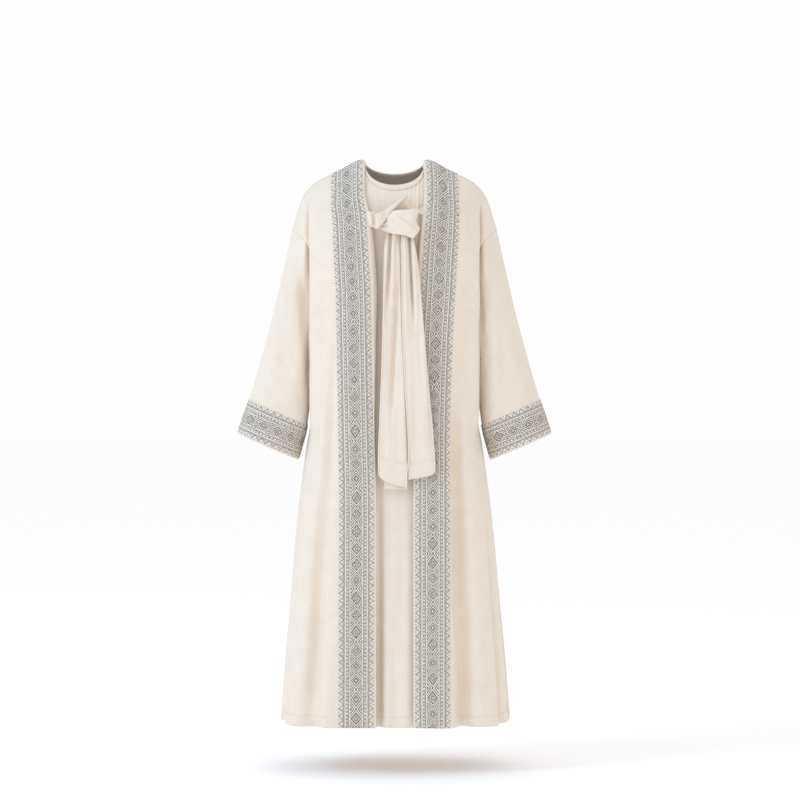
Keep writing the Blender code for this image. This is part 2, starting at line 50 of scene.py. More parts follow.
SEAM_GAP = 0.3
TRIM_WIDTH = 57.0
# How far a panel stays straight across before it rounds to the side seam, as a share of the way.
SQUARENESS = 0.7
HEM_TURNED = 17.0
HEM_LINE = LENGTH - HEM_TURNED
HEM_THICKER = 0.5

# How far the shoulder seam drops at distances out from the middle.
SHOULDER_LINE = {
    "out": (0, 51, 88, 129, 144, 156, 162, 169),
    "drop": (0, 0, 16.5, 36, 50, 72, 93, 115),
}
# The robe's plan at depths below the shoulder: how far out its side is, how far its front and back stand
# from the side seam, and how far the side gives way to the arm.
BODY = {
    "depth": (0, 15, 40, 80, 130, 235, 395, 495, 560, 627, 725, 825, 923),
    "side": (169, 160, 147, 139, 138, 138, 139, 149, 157, 164, 172, 181, 188),
    "front": (0, 30, 58, 82, 92, 94, 97, 101, 104, 107, 113, 119, 125),
    "back": (0, 28, 52, 72, 80, 82, 82, 86, 90, 95, 103, 111, 118),
    "hollow": (0, 0, 0, 1.5, 5, 10, 6, 0.5, 0, 0, 0, 0, 0),
}
HOLLOW_FLAT = 27.0
HOLLOW_ROUND = 16.0
# The fold that stands beside each armhole: how far out its edge is, where it runs round the side below the
# arm, and how far the sleeve's head swells beyond it.
FOLD_OUT = 138.8
FOLD_CORNER_Y = -45.0
ARM_SWELL = 9.0
# How deep the crease beside each armhole is at heights below the shoulder, on the arm's side of the fold.
ARM_CREASE = {
    LEFT: {"down": (56, 75, 115, 150, 205, 235, 270, 330, 400, 470),
           "deep": (0, 5, 7, 6.5, 6, 4, 3, 4, 2, 0)},
    RIGHT: {"down": (56, 75, 100, 130, 160, 200, 235, 280, 330, 400, 470),
            "deep": (0, 7, 11, 11, 10, 9, 8, 9, 11, 9, 0)},
}
# How far the armhole's edge lies before and behind the side seam.
ARMHOLE = {
    "depth": (0, 25, 60, 120, 180, 235),
    "front": (0, 26, 40, 41, 29, 0),
    "back": (0, 28, 44, 46, 32, 0),
}
# Each front's edge: how far out the trim begins, and how wide the plain turned edge beside it is.
FRONT_EDGE = {
    LEFT: {"depth": (0, 60, 90, 165, 220, 300, 460, 560, 923),
           "trim": (52, 51, 47, 42, 39, 37.5, 34.5, 32.5, 33),
           "plain": (3, 3, 6, 11, 11, 8, 3, 3, 3.5)},
    RIGHT: {"depth": (0, 60, 90, 165, 220, 300, 460, 560, 923),
            "trim": (52, 53.5, 52, 46, 43, 38.5, 34, 33.5, 33.5),
            "plain": (4, 5, 6, 7, 7, 5, 3, 3, 3)},
}
# Folds down a panel: place across it beyond the trim, half width, how far it stands out at the hem,
# and the depth where it begins.
FRONT_FOLDS = {
    LEFT: ((-0.02, 24, 3, 430), (0.11, 14, 8, 560), (0.26, 17, -10, 430), (0.44, 20, 8, 330),
           (0.84, 22, -6, 380)),
    RIGHT: ((-0.07, 24, 7, 300), (0.145, 13, -25, 180), (0.34, 22, 8, 330), (0.455, 10, 7, 400),
            (0.575, 9, -19, 400)),
}
# Small creases: where each starts and ends (across from the trim's inner edge, down), half width, height
# and how far it bends to one side.
FRONT_CREASES = {
    LEFT: ((70, 60, 78, 330, 9, 1.1, 4), (104, 80, 96, 300, 11, -1.4, -6), (124, 130, 116, 420, 7, 1.0, 5),
           (88, 350, 96, 640, 12, -0.9, 8), (66, 420, 72, 700, 8, 0.7, -4), (118, 470, 130, 780, 10, 0.9, 6),
           (92, 690, 84, 880, 9, 0.8, 4), (142, 560, 150, 860, 9, -0.9, -5), (74, 760, 78, 905, 7, -0.6, 2),
           (132, 240, 80, 330, 10, 0.5, 5), (140, 300, 92, 372, 9, -0.5, -4), (110, 560, 74, 640, 12, 0.4, 6),
           (68, 250, 142, 1000, 11, 7.5, -4), (52, 250, 126, 1000, 10, -6.0, -4),
           (74, 70, 84, 420, 9, -2.4, 0), (100, 400, 96, 620, 15, -3.0, 0)),
    RIGHT: ((72, 70, 80, 300, 8, -1.0, 4), (98, 90, 92, 360, 10, 1.3, 5), (122, 120, 112, 380, 8, -1.1, -6),
            (84, 360, 74, 600, 9, 0.8, 6), (112, 400, 122, 690, 11, -1.0, 5), (96, 620, 104, 870, 9, 0.9, -5),
            (134, 520, 144, 820, 8, 0.9, 4), (128, 230, 84, 310, 9, -0.5, 5), (138, 280, 90, 352, 10, 0.5, 4),
            (76, 500, 110, 590, 12, -0.4, 5), (64, 330, 80, 830, 9, -13.0, 0)),
}


def through(table, key, column, at):
    """A smooth curve through a table's column that never overshoots its rows."""
    x = np.asarray(table[key], float)
    y = np.asarray(table[column], float)
    step = np.diff(x)
    slope = np.diff(y) / step
    lean = np.zeros(len(x))
    same = slope[:-1] * slope[1:] > 0
    weight = step[:-1] + 2 * step[1:]
    other = 2 * step[:-1] + step[1:]
    first = np.where(same, slope[:-1], 1.0)
    second = np.where(same, slope[1:], 1.0)
    lean[1:-1] = np.where(same, (weight + other) / (weight / first + other / second), 0.0)
    lean[0] = slope[0]
    lean[-1] = slope[-1]
    at = np.clip(np.asarray(at, float), x[0], x[-1])
    i = np.clip(np.searchsorted(x, at, side="right") - 1, 0, len(x) - 2)
    q = (at - x[i]) / step[i]
    return (y[i] * (1 + 2 * q) * (1 - q) ** 2 + lean[i] * step[i] * q * (1 - q) ** 2
            + y[i + 1] * q * q * (3 - 2 * q) + lean[i + 1] * step[i] * q * q * (q - 1))


def ease(q):
    """0 below 0, 1 above 1, and smooth between."""
    q = np.clip(q, 0.0, 1.0)
    return q * q * (3 - 2 * q)


def seam_line(depth, face):
    """The armhole and side seam at a depth: how far out and how far back."""
    out = through(BODY, "depth", "side", depth)
    reach = through(ARMHOLE, "depth", face, min(depth, ARMHOLE_DEPTH))
    return out, SEAM_Y + (reach if face == "back" else -reach)


def beside_arm(out, y, depth):
    """Distance from the middle once the side gives way to the arm."""
    near = 1 - ease((np.abs(y - SEAM_Y) - HOLLOW_FLAT) / HOLLOW_ROUND)
    at_side = ease(out / through(BODY, "depth", "side", depth) * 4 - 3)
    return out - through(BODY, "depth", "hollow", depth) * near * at_side


def quarter_round(start, end, count=161):
    """Plan curve that leaves the middle of a panel straight across and meets its side seam."""
    u = np.linspace(0, 1, count)
    bend_x = start[0] + SQUARENESS * (end[0] - start[0])
    bend_y = end[1] - SQUARENESS * (end[1] - start[1])
    w = ((1 - u) ** 3, 3 * u * (1 - u) ** 2, 3 * u * u * (1 - u), u ** 3)
    x = w[0] * start[0] + w[1] * bend_x + (w[2] + w[3]) * end[0]
    y = (w[0] + w[1]) * start[1] + w[2] * bend_y + w[3] * end[1]
    return x, y


def shoulder_share(depth):
    """How much of the shoulder's slope a row of cloth still has at this depth."""
    return max(0.0, 1 - depth / ARMHOLE_DEPTH)


def run_of(x, y):
    """Distances along a plan curve."""
    return np.concatenate([[0], np.cumsum(np.hypot(np.diff(x), np.diff(y)))])


def folded(x, y, middles, folds, depth):
    """A plan curve pushed to the right of its run, where its folds' middles lie."""
    run = run_of(x, y)
    push = np.zeros(len(x))
    for middle, (_, half_width, height, begins) in zip(middles, folds):
        grown = ease((depth - begins) / (LENGTH - begins))
        push += height * grown * np.exp(-((run - middle) / half_width) ** 2)
    tx = np.gradient(x)
    ty = np.gradient(y)
    size = np.hypot(tx, ty)
    return x + push * ty / size, y - push * tx / size


def front_row(side, depth):
    """A front's row at a depth: distances from the trim's inner edge, and points."""
    start = (through(FRONT_EDGE[side], "depth", "trim", depth),
             SEAM_Y - through(BODY, "depth", "front", depth))
    x, y = quarter_round(start, seam_line(depth, "front"))
    x = beside_arm(x, y, depth)
    top_x, _ = quarter_round((NECK_HALF, 0), (BODY["side"][0], 0))
    z = -depth - through(SHOULDER_LINE, "out", "drop", top_x) * shoulder_share(depth)
    panel = run_of(x, y)[-1] - TRIM_WIDTH
    middles = [TRIM_WIDTH + fold[0] * panel for fold in FRONT_FOLDS[side]]
    x, y = folded(x, y, middles, FRONT_FOLDS[side], depth)
    length = np.concatenate([[0], np.cumsum(np.hypot(np.hypot(np.diff(x), np.diff(y)), np.diff(z)))])
    return length, np.stack([x * side, y, z], axis=1)


def arm_crease(side, points):
    """Points with the crease pressed in on the arm's side of the fold beside the armhole."""
    out, y, down = points[..., 0] * side, points[..., 1], -points[..., 2]
    off = out - FOLD_OUT
    # It is narrow at the shoulder and opens below, most of all at the right.
    width = 4.5 + 4.0 * ease((down - 180) / 60) + (8.0 if side == RIGHT else 0.0) * ease((down - 265) / 50)
    fold_edge = 0.2 * np.exp(-((off + 5.0) / 6.0) ** 2)
    shape = ease(off / 1.6) * np.exp(-np.maximum(off - 1.2, 0) / width) - fold_edge
    push = through(ARM_CREASE[side], "down", "deep", down) * shape
    by_height = ease((down - 62) / 40) * ease((215 - down) / 70)
    push -= ARM_SWELL * by_height * np.exp(-((off - 8.2) / 4.8) ** 2)
    push *= ease((-y - 2) / 14)
    return points + np.stack([0 * push, push, 0 * push], axis=-1)


def upright_fold(side, grid):
    """A front's points with the fold that stands beside the armhole and runs down behind the sleeve."""
    out, y, z = grid[..., 0] * side, grid[..., 1], grid[..., 2]
    corner = np.exp(-((y - FOLD_CORNER_Y) / 13.0) ** 2) * ease((-118.0 - z) / 50) * ease((z + 470) / 60)
    corner *= ease((out - 112.0) / 12.0)
    pushed = out + np.maximum(FOLD_OUT - out, 0) * corner
    return arm_crease(side, np.stack([pushed * side, y, z], axis=-1))


def fold_place(side, depth):
    """How far round a front from its trim's inner edge the fold beside the armhole stands."""
    length, points = front_row(side, depth)
    out, y = points[:, 0] * side, points[:, 1]
    above = np.argmax(out >= FOLD_OUT) if (out >= FOLD_OUT).any() else len(out) - 1
    below = np.argmax(y >= FOLD_CORNER_Y)
    low = float(ease((depth - 95) / 40))
    return length[above] * (1 - low) + length[below] * low


def front_points(side, depth, distances):
    """Points of a front at distances from its trim's inner edge, below 0 on the plain edge."""
    length, points = front_row(side, depth)
    found = np.stack([np.interp(distances, length, points[:, k]) for k in range(3)], axis=1)
    beyond = np.minimum(np.asarray(distances, float), 0.0)
    found[:, 0] += beyond * side
    found[:, 1] += 0.04 * beyond * beyond
    return found, length[-1]


def outward(grid, closed=False):
    """Unit normals of a grid of points, rows running down and columns across."""
    if closed:
        wrapped = np.concatenate([grid[:, -1:], grid, grid[:, :1]], axis=1)
        across = (wrapped[:, 2:] - wrapped[:, :-2]) / 2
    else:
        across = np.gradient(grid, axis=1)
    normal = np.cross(np.gradient(grid, axis=0), across)
    return normal / np.maximum(np.linalg.norm(normal, axis=2, keepdims=True), 1e-9)


def crease_height(u, v, creases):
    """Height of soft ridges and troughs at places across and down a piece of cloth."""
    total = np.zeros(np.broadcast(u, v).shape)
    for u0, v0, u1, v1, half_width, height, bend in creases:
        du, dv = u1 - u0, v1 - v0
        reach = du * du + dv * dv
        along = ((u - u0) * du + (v - v0) * dv) / reach
        off = ((u - u0) * dv - (v - v0) * du) / math.sqrt(reach) - bend * 4 * along * (1 - along)
        total += height * ease(along / 0.35) * ease((1 - along) / 0.35) * np.exp(-(off / half_width) ** 2)
    return total


def cloth_shell(name, grid, normals, u, v, wall, material, closed=False):
    """A thin piece of cloth whose outer skin is the grid, and whose weave follows u and v."""
    rows, columns = grid.shape[:2]
    spans = columns if closed else columns - 1
    half = rows * columns
    points = np.concatenate([grid.reshape(-1, 3), (grid - normals * wall).reshape(-1, 3)]) * MM
    r, c = np.meshgrid(np.arange(rows - 1), np.arange(spans), indexing="ij")
    a = (r * columns + c).ravel()
    b = (r * columns + (c + 1) % columns).ravel()
    # Each face's corners, and the row and column of the cut that each corner lies on.
    quads = [np.stack([a, a + columns, b + columns, b], axis=1),
             np.stack([half + a, half + b, half + b + columns, half + a + columns], axis=1)]
    corner = np.stack([r, c], axis=2).reshape(-1, 2)[:, None]
    places = [corner + ((0, 0), (1, 0), (1, 1), (0, 1)), corner + ((0, 0), (0, 1), (1, 1), (1, 0))]
    across = np.arange(spans)
    for row, order in ((0, 1), (rows - 1, -1)):
        first = row * columns + across
        second = row * columns + (across + 1) % columns
        quads.append(np.stack([first, second, half + second, half + first], axis=1)[:, ::order])
        places.append(np.stack([np.full(spans, row), across], axis=1)[:, None]
                      + ((0, 0), (0, 1), (0, 1), (0, 0)))
    if not closed:
        down = np.arange(rows - 1)
        for column, order in ((0, 1), (columns - 1, -1)):
            first = down * columns + column
            second = (down + 1) * columns + column
            quads.append(np.stack([first, half + first, half + second, second], axis=1)[:, ::order])
            places.append(np.stack([down, np.full(rows - 1, column)], axis=1)[:, None]
                          + ((0, 0), (0, 0), (1, 0), (1, 0))[::order])
    faces = np.concatenate(quads)
    smooth = np.arange(len(faces)) < len(quads[0]) * 2
    spot = np.concatenate(places).reshape(-1, 2)
    mesh = bpy.data.meshes.new(name)
    mesh.vertices.add(len(points))
    mesh.vertices.foreach_set("co", points.ravel())
    mesh.loops.add(faces.size)
    mesh.loops.foreach_set("vertex_index", faces.ravel())
    mesh.polygons.add(len(faces))
    mesh.polygons.foreach_set("loop_start", np.arange(len(faces)) * 4)
    mesh.polygons.foreach_set("use_smooth", smooth)
    layer = mesh.uv_layers.new(name="cut")
    layer.data.foreach_set("uv", np.stack([u[spot[:, 0], spot[:, 1]], v[spot[:, 0], spot[:, 1]]],
                                          axis=1).ravel() * MM)
    mesh.materials.append(material)
    mesh.validate()
    mesh.update()
    piece = bpy.data.objects.new(name, mesh)
    bpy.context.collection.objects.link(piece)
    return piece


def spread(u, v, rows, columns):
    """Places across and places down, each as a full grid of rows and columns.

    A closed piece gives one more column than it has points, for the seam where its cut meets itself.
    """
    return (np.broadcast_to(np.asarray(u, float), (rows, columns)),
            np.broadcast_to(np.asarray(v, float).reshape(rows, 1), (rows, columns)))


class Thread:
    """A number that varies over the cloth, worked out by shader maths."""

    def __init__(self, tree, socket):
        self.tree = tree
        self.socket = socket

    def work(self, kind, *others):
        node = self.tree.nodes.new("ShaderNodeMath")
        node.operation = kind
        for place, value in enumerate((self, *others)):
            if isinstance(value, Thread):
                self.tree.links.new(value.socket, node.inputs[place])
            else:
                node.inputs[place].default_value = value
        return Thread(self.tree, node.outputs[0])

    def __add__(self, other):
        return self.work("ADD", other)

    def __sub__(self, other):
        return self.work("SUBTRACT", other)

    def __mul__(self, other):
        return self.work("MULTIPLY", other)

    def __truediv__(self, other):
        return self.work("DIVIDE", other)

    def size(self):
        return self.work("ABSOLUTE")

    def share(self):
        return self.work("FRACT")

    def less(self, other):
        return self.work("MINIMUM", other)

    def more(self, other):
        return self.work("MAXIMUM", other)

    def over(self, mask, value):
        """This number, or the given one where the mask is 1."""
        return self + mask * (self * -1.0 + value)

    def step(self, low, high):
        """0 below low and 1 above high."""
        node = self.tree.nodes.new("ShaderNodeMapRange")
        node.interpolation_type = "SMOOTHSTEP"
        self.tree.links.new(self.socket, node.inputs["Value"])
        node.inputs["From Min"].default_value = low
        node.inputs["From Max"].default_value = high
        return Thread(self.tree, node.outputs["Result"])


def cut_places(tree):
    """Where a point lies on the flat cut, in millimetres across and down."""
    source = tree.nodes.new("ShaderNodeUVMap")
    source.uv_map = "cut"
    parts = tree.nodes.new("ShaderNodeSeparateXYZ")
    tree.links.new(source.outputs["UV"], parts.inputs["Vector"])
    return Thread(tree, parts.outputs["X"]) * 1000.0, Thread(tree, parts.outputs["Y"]) * 1000.0


def mottle(tree, u, v, per_u, per_v, detail=2.0, rough=0.55):
    """Soft noise from 0 to 1 that repeats roughly every per_u across and per_v down."""
    place = tree.nodes.new("ShaderNodeCombineXYZ")
    tree.links.new((u / per_u).socket, place.inputs["X"])
    tree.links.new((v / per_v).socket, place.inputs["Y"])
    noise = tree.nodes.new("ShaderNodeTexNoise")
    noise.inputs["Scale"].default_value = 1.0
    noise.inputs["Detail"].default_value = detail
    noise.inputs["Roughness"].default_value = rough
    tree.links.new(place.outputs["Vector"], noise.inputs["Vector"])
    return Thread(tree, noise.outputs["Fac"])


def blended(tree, amount, first, second):
    """A colour between two, by an amount from 0 to 1."""
    node = tree.nodes.new("ShaderNodeMix")
    node.data_type = "RGBA"
    tree.links.new(amount.socket, node.inputs["Factor"])
    for name, value in (("A", first), ("B", second)):
        socket = [s for s in node.inputs if s.name == name and s.type == "RGBA"][0]
        if isinstance(value, tuple):
            socket.default_value = (*value, 1)
        else:
            tree.links.new(value, socket)
    return [s for s in node.outputs if s.type == "RGBA"][0]


def raised(tree, shader, height, reach):
    """Bump on a shader from a height in millimetres."""
    bump = tree.nodes.new("ShaderNodeBump")
    bump.inputs["Strength"].default_value = 1.0
    bump.inputs["Distance"].default_value = reach * MM
    tree.links.new(height.socket, bump.inputs["Height"])
    tree.links.new(bump.outputs["Normal"], shader.inputs["Normal"])


def linen(name, warm, light):
    """Cream plain-weave linen: fine threads, long soft slubs both ways and a faint mottle."""
    material = bpy.data.materials.new(name)
    material.use_nodes = True
    tree = material.node_tree
    shader = tree.nodes["Principled BSDF"]
    shader.inputs["Roughness"].default_value = 0.92
    shader.inputs["Specular IOR Level"].default_value = 0.2
    shader.inputs["Sheen Weight"].default_value = 0.2
    shader.inputs["Sheen Roughness"].default_value = 0.5
    u, v = cut_places(tree)
    warp = mottle(tree, u, v, 0.9, 26.0)
    weft = mottle(tree, u + 731.0, v, 30.0, 0.9)
    cloud = mottle(tree, u, v + 517.0, 28.0, 34.0, detail=4.0)
    threads = (u * 5.7).work("SINE") * (v * 5.7).work("SINE")
    tone = (warp + weft) * 0.32 + cloud * 0.36
    colour = blended(tree, tone.step(0.3, 0.7), warm, light)
    tree.links.new(colour, shader.inputs["Base Color"])
    raised(tree, shader, (warp + weft) * 0.9 + threads * 0.12 + cloud * 1.6, 0.16)
    return material


cream_linen = linen("cream_linen", (0.861, 0.748, 0.626), (0.931, 0.839, 0.732))
sewing_thread = bpy.data.materials.new("sewing_thread")
sewing_thread.use_nodes = True
thread_tree = sewing_thread.node_tree
thread_shader = thread_tree.nodes["Principled BSDF"]
thread_shader.inputs["Roughness"].default_value = 0.6
thread_noise = thread_tree.nodes.new("ShaderNodeTexNoise")
thread_noise.inputs["Scale"].default_value = 900.0
thread_tree.links.new(blended(thread_tree, Thread(thread_tree, thread_noise.outputs["Fac"]),
                              (0.70, 0.62, 0.53), (0.84, 0.78, 0.70)), thread_shader.inputs["Base Color"])

# A stitch is four rings of five points, which sink into the cloth at both ends: how far along it each ring
# is, how fat it is there and how far it stands off the cloth.
STITCH_ROUND = (0.4, 1.66, 2.9, 4.2, 5.5)
STITCH_RINGS = ((0.0, 0.35, -0.1), (0.25, 1.0, 0.2), (0.75, 1.0, 0.2), (1.0, 0.35, -0.1))


def along_line(line, length, at):
    """The values of a line of points or directions at a distance along it."""
    return np.array([np.interp(at, length, line[:, k]) for k in range(3)])


def stitches(name, lines, pitch=3.4, part=0.72, half=0.26):
    """One mesh of short raised stitches along lines, each a pair of points and outward directions."""
    ring = [(math.cos(a), math.sin(a)) for a in STITCH_ROUND]
    sides, last = len(ring), len(STITCH_RINGS) - 1
    points = []
    faces = []
    for path, outs in lines:
        length = np.concatenate([[0], np.cumsum(np.linalg.norm(np.diff(path, axis=0), axis=1))])
        for k in range(int(length[-1] / pitch)):
            start = len(points)
            for share, fat, lift in STITCH_RINGS:
                at = (k + 0.1 + part * share) * pitch
                here = along_line(path, length, at)
                ahead = along_line(path, length, at + 0.5) - along_line(path, length, at - 0.5)
                out = along_line(outs, length, at)
                side = np.cross(ahead, out)
                side /= np.linalg.norm(side)
                for across, up in ring:
                    points.append((here + side * across * half * fat + out * (up * half * fat + lift)) * MM)
            for r in range(last):
                for c in range(sides):
                    a, b = start + r * sides + c, start + r * sides + (c + 1) % sides
                    faces.append((a, b, b + sides, a + sides))
            faces.append(tuple(start + c for c in reversed(range(sides))))
            faces.append(tuple(start + last * sides + c for c in range(sides)))
    mesh = bpy.data.meshes.new(name)
    mesh.from_pydata([tuple(p) for p in points], [], faces)
    mesh.polygons.foreach_set("use_smooth", [True] * len(mesh.polygons))
    mesh.materials.append(sewing_thread)
    mesh.update()
    piece = bpy.data.objects.new(name, mesh)
    bpy.context.collection.objects.link(piece)
    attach(piece, "root")
    return piece


def sewn_groove(distance, half_width=1.1, depth=0.35):
    """How far a row of stitching pulls the cloth in, at a distance from the row."""
    return -depth * np.exp(-(distance / half_width) ** 2)


def turned_hem(depth):
    """How far a hem stands out at a depth: pulled in by its stitching, and thicker where it is turned up."""
    thicker = HEM_THICKER * ease((depth - HEM_LINE) / 2) * ease((LENGTH - depth) / 3)
    return sewn_groove(depth - HEM_LINE) + thicker


# Rows are closer at the hem's stitching.
HEM_ROWS = HEM_LINE + np.array([-3.0, -1.6, -0.8, 0.0, 0.8, 1.6, 3.0])
DEPTHS = np.unique(np.concatenate([np.linspace(0, HEM_LINE - 5, 232), HEM_ROWS,
                                   np.linspace(HEM_LINE + 5, LENGTH, 6)]))
HEM_ROW = int(np.argmin(np.abs(DEPTHS - HEM_LINE)))


def front_panel(side):
    """A front's outer points, normals and places on its cut, from its front edge to the side seam."""
    edge = FRONT_EDGE[side]
    # Columns are closer in the turned edge and at the fold beside the armhole.
    plain_shares = np.array([-1, -0.93, -0.8, -0.6, -0.4, -0.2, -0.06])
    near_fold = np.array([-4, -2.6, -1.6, -0.9, -0.3, 0.3, 0.9, 1.6, 2.4, 3.4, 4.8, 6.8, 9.5])
    until_fold = np.linspace(0.03, 0.98, 34)
    after_fold = np.array([0.08, 0.18, 0.3, 0.44, 0.58, 0.72, 0.85, 0.94, 0.98, 1.0])
    across = np.linspace(0, TRIM_WIDTH, 16)
    rows, places = [], []
    for depth in DEPTHS:
        plain = float(through(edge, "depth", "plain", depth))
        _, end = front_points(side, depth, [0.0])
        fold = min(fold_place(side, depth), end - 9.0)
        beside = fold + near_fold * np.where(near_fold > 0, min(1.0, (end - fold - 2.0) / 12.0), 1.0)
        at = np.concatenate([plain * plain_shares, across, TRIM_WIDTH + until_fold * (beside[0] - TRIM_WIDTH),
                             beside, beside[-1] + after_fold * (end - beside[-1])])
        rows.append(front_points(side, depth, at)[0])
        places.append(at)
    grid = upright_fold(side, np.array(rows))
    grid[0, :, 1] += SEAM_GAP
    u = np.array(places)
    v = np.broadcast_to(DEPTHS[:, None], u.shape)
    normals = outward(grid) * side
    plain = through(edge, "depth", "plain", DEPTHS)[:, None]
    turned = np.clip(-u / plain, 0, 1)
    lift = crease_height(u, v, FRONT_CREASES[side]) * ease((u - TRIM_WIDTH) / 10)
    lift += 0.9 * np.sin(math.pi * turned) ** 0.7 * (u < 0)
    lift += turned_hem(v) * (u > TRIM_WIDTH)
    grid = grid + normals * lift[..., None]
    return grid, outward(grid) * side, u, v


# The left side's pieces are laid out from the other edge, so that their faces point outwards.
FACING = {LEFT: slice(None, None, -1), RIGHT: slice(None)}
fronts = {}
for side, word in ((LEFT, "left"), (RIGHT, "right")):
    grid, normals, u, v = front_panel(side)
    fronts[side] = (grid, u)
    way = FACING[side]
    piece = cloth_shell("front_" + word + "_cloth", grid[:, way], normals[:, way], u[:, way], v[:, way],
                        CLOTH_WALL, cream_linen)
    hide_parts("front_" + word)
    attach(piece, "root")
    beyond = np.argmin(np.abs(u[HEM_ROW] - TRIM_WIDTH)) + 1
    stitches("front_" + word + "_hem_stitching", [(grid[HEM_ROW, beyond:], normals[HEM_ROW, beyond:])])

# The trim down the fronts. A woven band 57 mm wide in two greys and off-white, with toothed borders, two
# chains of beads and a row of diamonds in outline. It is laid on each front from the shoulder seam to the
# hem, 0.3 mm off the cloth, and topstitched along both of its edges.
TRIM_THICKNESS = 1.1
TRIM_WALL = 0.9
TRIM_STITCHING_IN = 2.2
# Columns across the band up to its middle; the other half mirrors them. Its stitching runs on the fifth.
TRIM_COLUMNS = np.array([0, 0.35, 1.0, 1.6, TRIM_STITCHING_IN, 2.8, 3.6, 5.5, 9, 13, 17, 21, 25,
                         TRIM_WIDTH / 2])
TRIM_COLUMNS = np.concatenate([TRIM_COLUMNS, TRIM_WIDTH - TRIM_COLUMNS[-2::-1]])
TRIM_STITCHED = (4, len(TRIM_COLUMNS) - 5)
# The design's sizes: one tooth, bead or diamond along the band, and half a diamond across it.
TOOTH_PITCH = 12.3
TOOTH_HIGH = 7.6
TOOTH_FROM = 20.4
BEAD_PITCH = 5.9
BEADS_AT = 14.2
MIDDLE_TO = 9.3
DIAMOND_PITCH = 27.0
DIAMOND_HALF = 11.6
# How far apart a diamond's parallel sides are.
DIAMOND_NORMAL = DIAMOND_PITCH * 2 * DIAMOND_HALF / math.hypot(DIAMOND_PITCH, 2 * DIAMOND_HALF)


